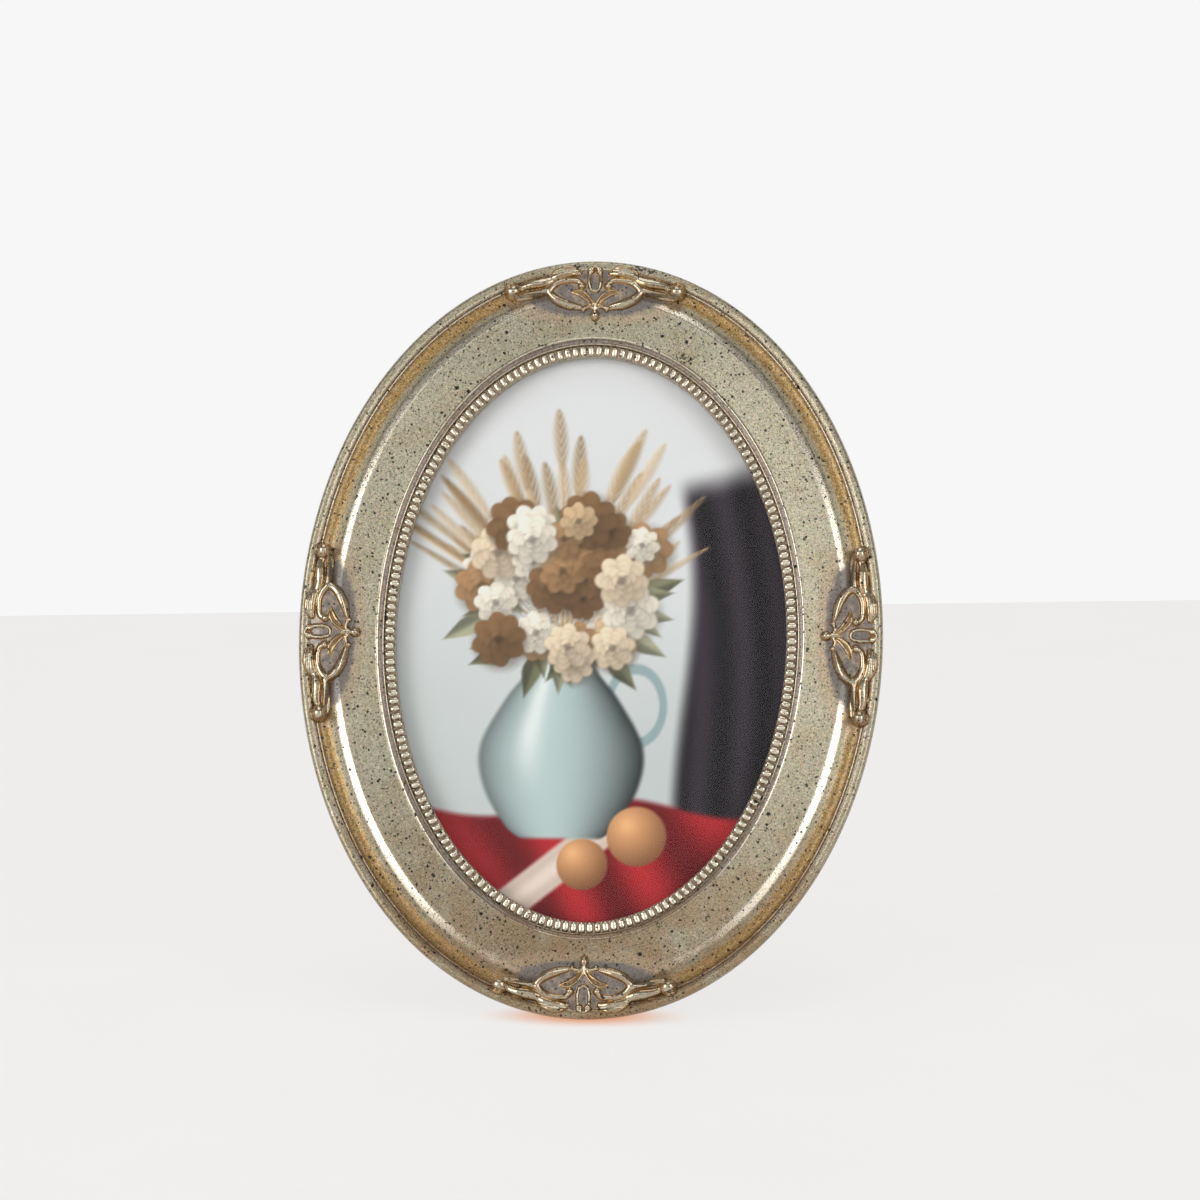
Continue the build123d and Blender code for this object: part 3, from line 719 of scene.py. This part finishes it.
def near_ornament(oval, x, y):
    """Distance along from the nearest ornament's middle and inward from the rim, both roughly:
    measured on circles of the oval's side and end curvature, out to the rim."""
    half_width, half_height = oval.half_width / MM, oval.half_height / MM
    out_to_rim = 12.0
    ways = []
    for toward, aside, half, other in ((x, y, half_width, half_height), (y, x, half_height, half_width)):
        radius = other**2 / half
        depth = np.abs(toward) - half + radius
        along = np.arctan2(np.abs(aside), depth) * (radius + out_to_rim)
        ways.append((along, radius + out_to_rim - np.hypot(aside, depth)))
    (side_along, side_inward), (end_along, end_inward) = ways
    nearer = side_along < end_along
    return np.where(nearer, side_along, end_along), np.where(nearer, side_inward, end_inward)


def washes(along, inward):
    """Grey wash close round an ornament and a gold halo outside it: both fall with the
    distance from a flat oval about the ornament."""
    middle, half_length, half_width = WASH_OVAL
    far = np.hypot(along / half_length, (inward - middle) / half_width)
    inside = ease(0.2, 0.8, inward)
    wash = (1 - ease(0.72, 1.12, far)) * inside
    halo = ease(0.7, 1.0, far) * (1 - ease(1.0, 1.4, far)) * inside
    return wash, halo


def stains(x, y):
    """1 at the middle of each dark stain, falling off round it like a bell."""
    return sum(np.exp(-(np.hypot(x - right, y - up) ** 2) / radius**2) for right, up, radius in STAINS)


class PICTUREFRAME_OT_moulding(Operator):
    """Build the moulding: its section carried round the oval."""

    bl_idname = "picture_frame.moulding"
    bl_label = "Moulding"

    def execute(self, context):
        settings = context.scene.picture_frame
        oval = settings.oval
        front = section(face_line(), SECTION_STEP)
        flat = (front[:, 0] > FLAT_START) & (front[:, 0] < FLAT_END)
        front = front[~flat | (np.arange(len(front)) % FLAT_KEEP == 0)]
        wall = section(WALL_LINE, 1.6)
        line = np.vstack([front, wall])
        middle = oval.band_width / MM / 2
        round_lengths = np.arange(COLUMNS) * run_round(oval, 0.0, middle)[1][-1] / COLUMNS
        angles = angles_along(oval, 0.0, middle, round_lengths)
        x, y = band_line(oval, angles, line[:, :1])
        rebate_x = oval.rebate_half_width / MM * np.cos(angles)
        rebate_y = oval.rebate_half_height / MM * np.sin(angles)
        x = np.vstack([x, rebate_x, rebate_x])
        y = np.vstack([y, rebate_y, rebate_y])
        height = np.concatenate([line[:, 1], [0.0, REBATE_DEPTH]])[:, None]
        points = on_face(oval, x, y, np.broadcast_to(height, x.shape))
        points[..., 2] = np.maximum(points[..., 2], 0.0)
        faces = outward(points, grid_faces(*x.shape, closed=True))
        is_wall = np.concatenate([np.zeros(len(front)), np.linspace(0.2, 1, len(wall)), [1, 1]])[:, None]
        place = np.concatenate([line[:, 0], [BAND, BAND]])[:, None]
        wash, halo = washes(*near_ornament(oval, x, y))
        values = {
            "across": np.broadcast_to(place, x.shape),
            "wall": np.broadcast_to(is_wall, x.shape),
            "wash": wash * (1 - is_wall),
            "halo": halo * (1 - is_wall),
            "stain": stains(x, y) * (1 - is_wall),
        }
        made = make_mesh("moulding", points, faces, values)
        stand_in(made, antique_paint(settings.paint), "frame_moulding")
        return {"FINISHED"}


class PICTUREFRAME_OT_beading(Operator):
    """Build the row of beads round the sight edge."""

    bl_idname = "picture_frame.beading"
    bl_label = "Beading"

    def execute(self, context):
        settings = context.scene.picture_frame
        oval = settings.oval
        count, places = oval.bead_count, np.array(BEAD_PLACES)
        pitch = run_round(oval, 0.0, BEAD_MIDDLE)[1][-1] / count
        lengths = ((np.arange(count)[:, None] + 0.5 + places) * pitch).ravel()
        along = np.tile(places * pitch, count)
        turn = np.repeat(np.random.default_rng(4).normal(0, 0.04, count), len(places))
        size = np.repeat(np.random.default_rng(5).normal(1, 0.035, count), len(places))
        half = np.array(BEAD_HALF_SPREAD)
        spread = np.concatenate([half, [0.0], -half[::-1]])[:, None]
        past = np.maximum(np.abs(spread) - BEAD_STRAIGHT, 0)
        dome = 1 - (past**2 + (along + turn * spread) ** 2) / (BEAD_RADIUS * size) ** 2
        saddle = 1 - 0.07 * np.exp(-((spread / 0.5) ** 2))
        rise = np.sqrt(np.maximum(dome, 0)) * saddle
        height = BEAD_TOP - 0.08 + rise * 0.78
        angles = angles_along(oval, 0.0, BEAD_MIDDLE, lengths)
        x, y = band_line(oval, angles, BEAD_MIDDLE + spread)
        foot = np.full_like(x[:2], BEAD_FOOT)
        x, y = np.vstack([x, x[[-1, 0]]]), np.vstack([y, y[[-1, 0]]])
        points = on_face(oval, x, y, np.vstack([height, foot]))
        faces = outward(points, grid_faces(*x.shape, closed=True))
        made = make_mesh("beading", points, faces, {"rise": np.vstack([rise, foot * 0])})
        stand_in(made, bead_paint(settings.paint), "sight_beading")
        return {"FINISHED"}


def ridge(u, v, knots, half_widths):
    """Distance from the nearest of a curve's samples as a share of the half width there,
    and that half width."""
    samples = 48
    line = curve_through(knots, samples)
    share = np.linspace(0, 1, samples)
    widths = np.interp(share, np.linspace(0, 1, len(half_widths)), half_widths)
    away = np.hypot(u[..., None] - line[:, 0], v[..., None] - line[:, 1]) / widths
    nearest = away.argmin(-1)
    return np.take_along_axis(away, nearest[..., None], -1)[..., 0], widths[nearest]


def soften(field):
    """Average of each value with its neighbours, which rounds the crevices of a casting."""
    padded = np.pad(field, 1, mode="edge")
    sides = padded[:-2, 1:-1] + padded[2:, 1:-1] + padded[1:-1, :-2] + padded[1:-1, 2:]
    return field * 0.5 + sides * 0.125


def relief(u, v, across):
    """Height over the moulding's back, and a mark that runs from 0 on the plain ground over
    0.5 at a ridge's foot to 1 on its top. The ground lies under a dome, a parabola across the
    band. A ridge is rounded about its curve, as high as it is wide, and the highest counts."""
    face = face_height(across)
    crown = 18.3 - 0.0205 * (across - 20.5) ** 2
    ground = np.zeros_like(u)
    for knots, half_widths in GROUNDS:
        away, width = ridge(u, v, knots, half_widths)
        ground = np.maximum(ground, 1 - ease(0.55, 1.08, away))
    low = face - 0.5
    base = low + (np.maximum(crown - 1.7, face + 0.15) - low) * ground
    height = base.copy()
    mark = np.zeros_like(u)
    shapes = [(*ridge(u, v, *form[:2]), *form[2:]) for form in RIDGES.values()]
    for ball_u, ball_v, radius in BALLS:
        away = np.hypot(u - ball_u, v - ball_v) / radius
        shapes.append((away, np.full_like(u, radius), 1.05, 0.0))
    for away, width, share, hollow in shapes:
        deep = hollow > 0.5
        dome = np.clip(1 - away**2, 0, 1) ** 0.55
        shape = dome * (1 - hollow * (1 - ease(0.45, 0.78, away)))
        level = np.maximum(base, face - 0.1) + shape * width * share
        height = np.where(away < 1, np.maximum(height, level), height)
        outside = 0.5 - np.clip((away - 1) * width / 0.9, 0, 1) * 0.5
        dip = (1 - ease(0.4, 0.7, away)) * (hollow if deep else 0.0)
        inside = (0.5 + dome * (1.0 if deep else 0.5)) * (1 - dip)
        mark = np.maximum(mark, np.where(away < 1, inside, outside))
    for _ in range(3):
        height = soften(height)
        mark = soften(mark)
    return height, mark


class PICTUREFRAME_OT_ornaments(Operator):
    """Build the four scroll ornaments on the outer half of the band."""

    bl_idname = "picture_frame.ornaments"
    bl_label = "Ornaments"

    def execute(self, context):
        settings = context.scene.picture_frame
        oval = settings.oval
        material = ornament_paint(settings.paint)
        out = face_axes(oval)[2]
        along = np.linspace(-ORNAMENT_HALF_LENGTH, ORNAMENT_HALF_LENGTH, ORNAMENT_GRID[0])
        u, v = np.meshgrid(along, np.linspace(*ORNAMENT_REACH, ORNAMENT_GRID[1]))
        across = RIM_START - v
        height, mark = relief(np.abs(u), v, across)
        proud = (height > face_height(across) - 0.2).ravel()
        for quarter, side in enumerate(("right", "top", "left", "bottom")):
            stretch = END_STRETCH if quarter % 2 else 1.0
            angles = angles_along(oval, quarter * math.pi / 2, RIM_START, along * stretch)
            points = on_face(oval, *band_line(oval, angles, across), height)
            faces = outward(points, grid_faces(*u.shape), out)
            used, faces = np.unique(faces[proud[faces].any(1)], return_inverse=True)
            shape = points.reshape(-1, 3)[used]
            values = {"mark": mark.ravel()[used]}
            made = make_mesh(f"{side}_scrolls", shape, faces.reshape(-1, 4), values)
            shell = made.modifiers.new("shell", "SOLIDIFY")
            shell.thickness = SHELL_THICKNESS * MM
            shell.offset = -1
            stand_in(made, material, f"ornament_{side}")
        return {"FINISHED"}


# The parts of the painted picture. Each takes places in half heights of the opening, and gives
# covers from 0 to 1 with their tones in display numbers, and at times the points they are for.


def tint(level, *tone):
    """A tone at each of many levels of light."""
    return level[..., None] * np.array(tone, float)


def curtain(x, y):
    """Dark curtain on the right: upright folds as sines of the distance from its edge."""
    edge = 0.30 + 0.10 * np.sin(2.6 * y + 0.6) - 0.14 * y
    cover = ease(-0.035, 0.035, x - edge) * ease(0.52, 0.38, y - 0.25 * x)
    folds = 0.5 + 0.5 * np.sin((x - edge) * 44 + 2.0 * np.sin(3 * y))
    yield cover, tint(folds, 26, 23, 27) + (24, 20, 24)


def cloth(x, y):
    """Red cloth along the bottom with slanting folds, and a pale napkin over it."""
    top = -0.60 + 0.035 * np.sin(7 * x + 1.0)
    folds = 0.5 + 0.5 * np.sin(16 * x + 11 * y + 1.6 * np.sin(5 * x))
    yield ease(0.015, -0.015, y - top), tint(folds, 78, 26, 26) + (106, 14, 20)
    slant = x * 0.8 - y - 0.80
    napkin = ease(0.012, -0.012, np.abs(slant + 0.08) - 0.075) * ease(0.02, -0.02, y + 0.62)
    pleat = 0.5 + 0.5 * np.sin(slant * 60)
    yield napkin, tint(pleat, 26, 26, 26) + (214, 196, 182)


def jug(x, y):
    """Pale blue-green jug with its handle: its half width is a smooth function of the height,
    and its shade falls off towards both sides."""
    x = x - JUG_MIDDLE
    loop = np.hypot((x - 0.26) / 0.115, (y + 0.24) / 0.155)
    handle = ease(0.10, 0.02, np.abs(loop - 0.85) - 0.06) * ease(0.0, 0.04, x - 0.14)
    yield handle, (150, 172, 172)
    smooth = curve_through(list(zip(JUG_LEVELS, JUG_WIDTHS)), 80)
    half = np.interp(y, smooth[:, 0], smooth[:, 1])
    cover = ease(0.012, -0.012, np.abs(x) - half)
    cover = cover * ease(-0.72, -0.70, y) * ease(-0.01, -0.03, y)
    across = np.clip(x / half, -1, 1)
    shade = np.sqrt(1 - across**2 * 0.85) - 0.18 * across
    glow = np.exp(-(((across + 0.42) / 0.16) ** 2)) * ease(-0.6, -0.3, y)
    yield cover, tint(shade, 182, 201, 199) + tint(glow, 46, 36, 34)


def grasses(x, y):
    """Dry plumes that fan out of the jug: each is a thin curved stalk whose feathery head is
    a soft oval broken up by fine slanting waves."""
    draw = np.random.default_rng(11).uniform
    for _ in range(44):
        lean, bend = draw(-0.8, 0.8), draw(-0.3, 0.3)
        top = draw(0.42, 0.84) - 0.18 * abs(lean)
        rise = np.clip((y + 0.05) / (top + 0.05), 0, 1)
        path = JUG_MIDDLE + lean * 0.55 * rise + (bend + lean * 0.5) * rise**2 * 0.35
        reach = ease(-0.06, 0.0, y) * ease(top + 0.01, top - 0.01, y)
        head = np.clip(1 - ((y - top + 0.11) / 0.115) ** 2, 0, 1) ** 0.7
        aside = (x - path) / (0.0035 + 0.026 * head)
        barbs = 0.55 + 0.45 * np.sin(np.abs(x - path) * 420 - y * 190 + draw(0, 6))
        cover = ease(1.3, 0.2, np.abs(aside)) * reach * (0.45 + 0.35 * barbs)
        tone = np.array((168.0, 140, 102)) + draw(-38, 44)
        yield cover, tint(1.06 - 0.14 * np.clip(aside, -1, 1), *tone)


def leaves(x, y):
    """Dull green leaves round the flowers: pointed ovals turned about their stalks."""
    draw = np.random.default_rng(7).uniform
    for _ in range(40):
        turn = draw(0, FULL_TURN)
        dx = x - (JUG_MIDDLE + 0.36 * math.cos(turn) * draw(0.5, 1))
        dy = y - (0.13 + 0.30 * math.sin(turn) * draw(0.5, 1))
        aim = turn + draw(-0.7, 0.7)
        along = dx * math.cos(aim) + dy * math.sin(aim)
        aside = dy * math.cos(aim) - dx * math.sin(aim)
        half = 0.034 * np.clip(1.1 - np.abs(along) / 0.12, 0.05, 1)
        far = np.hypot(along / 0.10, aside / half)
        tone = np.array((104.0, 104, 78)) + draw(-22, 34)
        cover = ease(1.15, 0.8, far) * 0.9
        yield cover, tint(1 + 0.25 * np.tanh(aside / 0.008), *tone)


def blooms(x, y):
    """Full flowers in cream, tan and brown. Each is rings of petals laid over one another,
    wide ones first; a petal is an oval that darkens towards the heart and at its rim."""
    random = np.random.default_rng(23)
    draw = random.uniform
    for _ in range(34):
        turn, reach = draw(0, FULL_TURN), math.sqrt(draw(0, 1))
        heart_x = JUG_MIDDLE + 0.34 * reach * math.cos(turn)
        heart_y = 0.20 + 0.29 * reach * math.sin(turn)
        radius = draw(0.06, 0.105)
        base = np.array(FLOWER_TONES[int(random.integers(0, len(FLOWER_TONES)))], float)
        near = np.hypot(x - heart_x, y - heart_y) < radius * 1.3
        dx, dy = x[near] - heart_x, y[near] - heart_y
        shadow = ease(1.25, 0.7, np.hypot(dx - 0.008, dy + 0.012) / radius) * 0.45
        yield shadow, base * 0.45, near
        for count, share in PETAL_RINGS:
            start = draw(0, 1)
            for step in range(count):
                aim = FULL_TURN * (step + start) / count + draw(-0.12, 0.12)
                long, wide = radius * share * 0.52, radius * share * (1.9 / count + 0.14)
                along = (dx * math.cos(aim) + dy * math.sin(aim)) / long - 1
                aside = (dy * math.cos(aim) - dx * math.sin(aim)) / wide
                far = np.hypot(along, aside)
                lit = 0.86 + 0.10 * math.sin(aim) - 0.06 * math.cos(aim)
                shade = lit + 0.16 * np.clip(along, -1, 1) - 0.10 * ease(0.75, 1.0, far)
                yield ease(1.05, 0.88, far), tint(shade, *base), near
        yield ease(0.2, 0.1, np.hypot(dx, dy) / radius) * 0.7, base * 0.6, near


def fruit(x, y):
    """Two round fruits on the cloth, lit from the upper left."""
    for place_x, place_y, radius in ((0.17, -0.70, 0.105), (-0.02, -0.80, 0.09)):
        dx, dy = x - place_x, y - place_y
        lit = 1 - np.hypot(dx + 0.035, dy - 0.04) / (radius * 1.9)
        far = np.hypot(dx, dy) / radius
        yield ease(1.04, 0.96, far), tint(lit, 150, 132, 96) + (100, 58, 36)


def painted_still_life(x, y):
    """Still life as linear colours, for shares of the opening from -1 to 1: flowers and dry
    grasses in a pale jug on red cloth, with a dark curtain, on a wall that is lighter above and
    waves slowly, as a sum of sines in several directions."""
    x = x * SIGHT_X / SIGHT_Y
    waves = [(3.1, 1.7, 0.3), (-2.3, 4.1, 1.9), (5.7, 2.9, 4.0), (-7.1, 6.3, 2.2)]
    ripple = sum(np.sin(a * x + b * y + c) for a, b, c in waves) / len(waves)
    high = ease(-0.9, 0.9, y + ripple * 0.15)
    picture = tint(1 - high, 196, 203, 201) + tint(high, 225, 227, 227)
    for part in (curtain, cloth, jug, grasses, leaves, blooms, fruit):
        for cover, tone, *near in part(x, y):
            touched = near[0] if near else ...
            picture[touched] += cover[..., None] * (tone - picture[touched])
    return linear(np.clip(picture * 1.08 + ripple[..., None] * 2.5, 0, 255) / 255)


class PICTUREFRAME_OT_picture(Operator):
    """Build the print: a soft still life painted on its points."""

    bl_idname = "picture_frame.picture"
    bl_label = "Picture"

    def execute(self, context):
        oval = context.scene.picture_frame.oval
        low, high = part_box("picture_print")
        half_width = (high.x - low.x) / 2 / MM
        half_height = half_width + PRINT_LONGER
        s, t = np.meshgrid(*(np.linspace(-1, 1, count) for count in PRINT_GRID))
        x = half_width * s * np.sqrt(1 - t * t / 2)
        y = half_height * t * np.sqrt(1 - s * s / 2)
        front = on_face(oval, x, y, np.full_like(x, PRINT_FRONT)).reshape(-1, 3)
        index = np.arange(x.size).reshape(x.shape)
        border = np.concatenate([index[0, :-1], index[:-1, -1], index[-1, :0:-1], index[:0:-1, 0]])
        out = face_axes(oval)[2]
        rear = front[border] - out * PRINT_THICKNESS * MM
        faces = outward(front, grid_faces(*x.shape), out)
        rear_index = np.arange(len(border)) + x.size
        side = np.stack([border, rear_index, np.roll(rear_index, -1), np.roll(border, -1)], -1)
        every = faces.tolist() + side.tolist() + [rear_index[::-1].tolist()]
        picture = painted_still_life(x / SIGHT_X, y / SIGHT_Y).reshape(-1, 3)
        paper = np.concatenate([picture, np.full((len(border), 3), 0.9)])
        rgba = np.concatenate([paper, np.ones((len(paper), 1))], 1)
        made = make_mesh("picture", np.concatenate([front, rear]), every, colours={"picture": rgba})
        stand_in(made, print_paper(), "picture_print")
        return {"FINISHED"}


class PICTUREFRAME_OT_glazing(Operator):
    """Give the glass its clear finish."""

    bl_idname = "picture_frame.glazing"
    bl_label = "Glass"

    def execute(self, context):
        dress(clear_glass(), "glass", "glass_pane")
        return {"FINISHED"}


class PICTUREFRAME_OT_back(Operator):
    """Finish the card, the board and the flocked covers of back and leg."""

    bl_idname = "picture_frame.back"
    bl_label = "Back and leg"

    def execute(self, context):
        back = context.scene.picture_frame.back
        dress(plain_board("grey_card", back.card, 1.0), "grey_card", "backing_card")
        dress(plain_board("pressed_board", back.board, 2.0), "hardboard", "back_board", "easel_leg")
        dress(flock_cloth(back), "black_flock", "back_cover", "easel_leg_cover")
        return {"FINISHED"}


class PICTUREFRAME_OT_fittings(Operator):
    """Finish the hinge, rivets, turn buttons, screws and hanger."""

    bl_idname = "picture_frame.fittings"
    bl_label = "Fittings"

    def execute(self, context):
        back = context.scene.picture_frame.back
        nickel = plated_metal("nickel_plate", back.nickel, 0.22)
        zinc = plated_metal("zinc_plate", back.zinc, 0.38)
        for place in ("fixed_leaf", "moving_leaf", "pin", "board_rivets", "leg_rivets"):
            dress(nickel, "nickel_plate", f"hinge_{place}")
        dress(nickel, "nickel_plate", "hanger_strap", "hanger_ring", "hanger_rivet")
        for place in ("screws", "upper_right", "upper_left", "lower_left", "lower_right"):
            dress(zinc, "zinc_plate", f"turn_button_{place}")
        return {"FINISHED"}


def add_panel(name, corners, material):
    """Flat stage panel through four corners."""
    mesh = bpy.data.meshes.new(name)
    mesh.from_pydata(corners, [], [(0, 1, 2, 3)])
    mesh.materials.append(material)
    panel = bpy.data.objects.new(name, mesh)
    bpy.context.scene.collection.objects.link(panel)


def add_table(stage):
    """Pale table top with a slanting far edge. To the camera it is partly a plain tone, as
    an evenly lit top is, and a painted glow of warm bounced light lies where the frame rests."""
    look = Surface("table_top", Roughness=0.5, Specular_IOR_Level=0.3)
    tone = look.mix(look.noise(60.0) * 0.3, stage.table, stage.streak)
    parts = look.node("SeparateXYZ", {0: look.place()})
    x = parts * (1 / 0.034)
    y = (parts.output(1) + 0.004) * (1 / 0.016)
    # Painted glow: warm bounced light as a spot of colour under the frame
    painted_glow = (x * x + y * y).sum("SQRT").rise(1.0, 0.0)
    warm = look.mix(painted_glow * 0.95, tone, stage.painted_glow)
    look.set(Base_Color=warm)
    path = look.node("LightPath", output="Is Camera Ray")
    seen = path.most(path.output("Is Glossy Ray"))
    look.cover(seen * 0.85, look.node("Emission", {"Color": warm, "Strength": 0.98}))
    add_panel("table", [(-4, -4, 0), (4, -4, 0), (4, 1.568, 0), (-4, 0.286, 0)], look.material)


def add_wall(stage):
    """White wall: a plain tone to the camera and to mirrors, and a pale one to other light."""
    look = Surface("white_wall", Base_Color=stage.wall, Roughness=0.9)
    path = look.node("LightPath", output="Is Camera Ray")
    seen = path.most(path.output("Is Glossy Ray")).most(path.output("Is Transmission Ray"))
    look.cover(seen, look.node("Emission", {"Color": stage.wall, "Strength": 1.0}))
    add_panel("wall", [(-6, 3.0, -3), (6, 3.0, -3), (6, 3.0, 6), (-6, 3.0, 6)], look.material)


def add_world(scene):
    """Studio light from all round: a grey that fades upwards and has one soft glow before the
    frame, white where the camera sees it."""
    world = bpy.data.worlds.new("studio")
    world.use_nodes = True
    sky = Nodes(world.node_tree)
    background = sky.tree.nodes["Background"]
    sky.feed(background.inputs["Color"], (1, 1, 1))
    direction = sky.node("TexCoord", output="Generated")
    height = sky.node("SeparateXYZ", {0: direction}, 2)
    limits = {"From Min": 0.25, "From Max": 0.75, "To Min": 0.36, "To Max": 0.12}
    fade = sky.node("MapRange", {"Value": height, **limits})
    offset = sky.vector("MULTIPLY_ADD", direction, (0.6, 0.8, 2.6), (0.12, 0.735, -1.04))
    glow = sky.vector("LENGTH", offset, output="Value").rise(0.85, 0.1) * 0.8
    seen = sky.node("LightPath", output="Is Camera Ray") * 0.93
    sky.feed(background.inputs["Strength"], (fade + glow).most(seen))
    scene.world = world


def aim_at(item, target, scene):
    """Turns a lamp or camera towards a point and puts it in the scene."""
    item.rotation_mode = "QUATERNION"
    item.rotation_quaternion = (target - item.location).to_track_quat("-Z", "Y")
    scene.collection.objects.link(item)


def add_lamps(scene):
    """Broad soft lamps, a little taller than wide."""
    for name, place, width, power in LAMPS:
        light = bpy.data.lights.new(name, "AREA")
        light.shape = "RECTANGLE"
        light.size = width
        light.size_y = width * 1.4
        light.energy = power
        lamp = bpy.data.objects.new(name, light)
        lamp.location = place
        aim_at(lamp, Vector((0, 0, LAMP_AIM)), scene)


def add_camera(scene, stage, oval):
    """Camera at the photograph's angle. The frame's middle, on the front of the moulding, lies
    a little low and left in the picture, by shifts in pixels of a picture 1200 wide."""
    middle = Vector(oval.centre) + Vector(face_axes(oval)[2]) * 0.0155
    right = Vector((math.cos(stage.azimuth), math.sin(stage.azimuth), 0))
    level = Vector((math.sin(stage.azimuth), -math.cos(stage.azimuth), 0))
    back = level * math.cos(stage.elevation) + Vector((0, 0, math.sin(stage.elevation)))
    pixel = stage.width / 1200
    aim = middle + right * 10.5 * pixel + back.cross(right) * 34 * pixel
    data = bpy.data.cameras.new("camera")
    data.sensor_width = 36
    data.lens = data.sensor_width * stage.distance / stage.width
    camera = bpy.data.objects.new("camera", data)
    camera.location = middle + back * stage.distance
    aim_at(camera, aim, scene)
    scene.camera = camera


class PICTUREFRAME_OT_stage(Operator):
    """Set up the table, the wall, the lamps and the camera."""

    bl_idname = "picture_frame.stage"
    bl_label = "Stage"

    def execute(self, context):
        scene = context.scene
        settings = scene.picture_frame
        scene.view_settings.view_transform = "Standard"
        add_table(settings.stage)
        add_wall(settings.stage)
        add_world(scene)
        add_lamps(scene)
        add_camera(scene, settings.stage, settings.oval)
        return {"FINISHED"}


OPERATORS = (
    PICTUREFRAME_OT_moulding,
    PICTUREFRAME_OT_beading,
    PICTUREFRAME_OT_ornaments,
    PICTUREFRAME_OT_picture,
    PICTUREFRAME_OT_glazing,
    PICTUREFRAME_OT_back,
    PICTUREFRAME_OT_fittings,
    PICTUREFRAME_OT_stage,
)


class PICTUREFRAME_PT_panel(Panel):
    """Buttons that build the picture frame."""

    bl_label = "Picture Frame"
    bl_idname = "PICTUREFRAME_PT_panel"
    bl_space_type = "VIEW_3D"
    bl_region_type = "UI"
    bl_category = "Picture Frame"

    def draw(self, context):
        for operator in OPERATORS:
            self.layout.operator(operator.bl_idname)


SETTINGS = (OvalSettings, PaintSettings, BackSettings, StageSettings, FrameSettings)
CLASSES = (*SETTINGS, *OPERATORS, PICTUREFRAME_PT_panel)


def register():
    """Adds the settings, operators and panel."""
    for item in CLASSES:
        bpy.utils.register_class(item)
    bpy.types.Scene.picture_frame = PointerProperty(type=FrameSettings)


def unregister():
    """Takes them away again."""
    del bpy.types.Scene.picture_frame
    for item in reversed(CLASSES):
        bpy.utils.unregister_class(item)


def main():
    register()
    bpy.ops.picture_frame.moulding()
    bpy.ops.picture_frame.beading()
    bpy.ops.picture_frame.ornaments()
    bpy.ops.picture_frame.picture()
    bpy.ops.picture_frame.glazing()
    bpy.ops.picture_frame.back()
    bpy.ops.picture_frame.fittings()
    bpy.ops.picture_frame.stage()


if __name__ == "__main__":
    main()
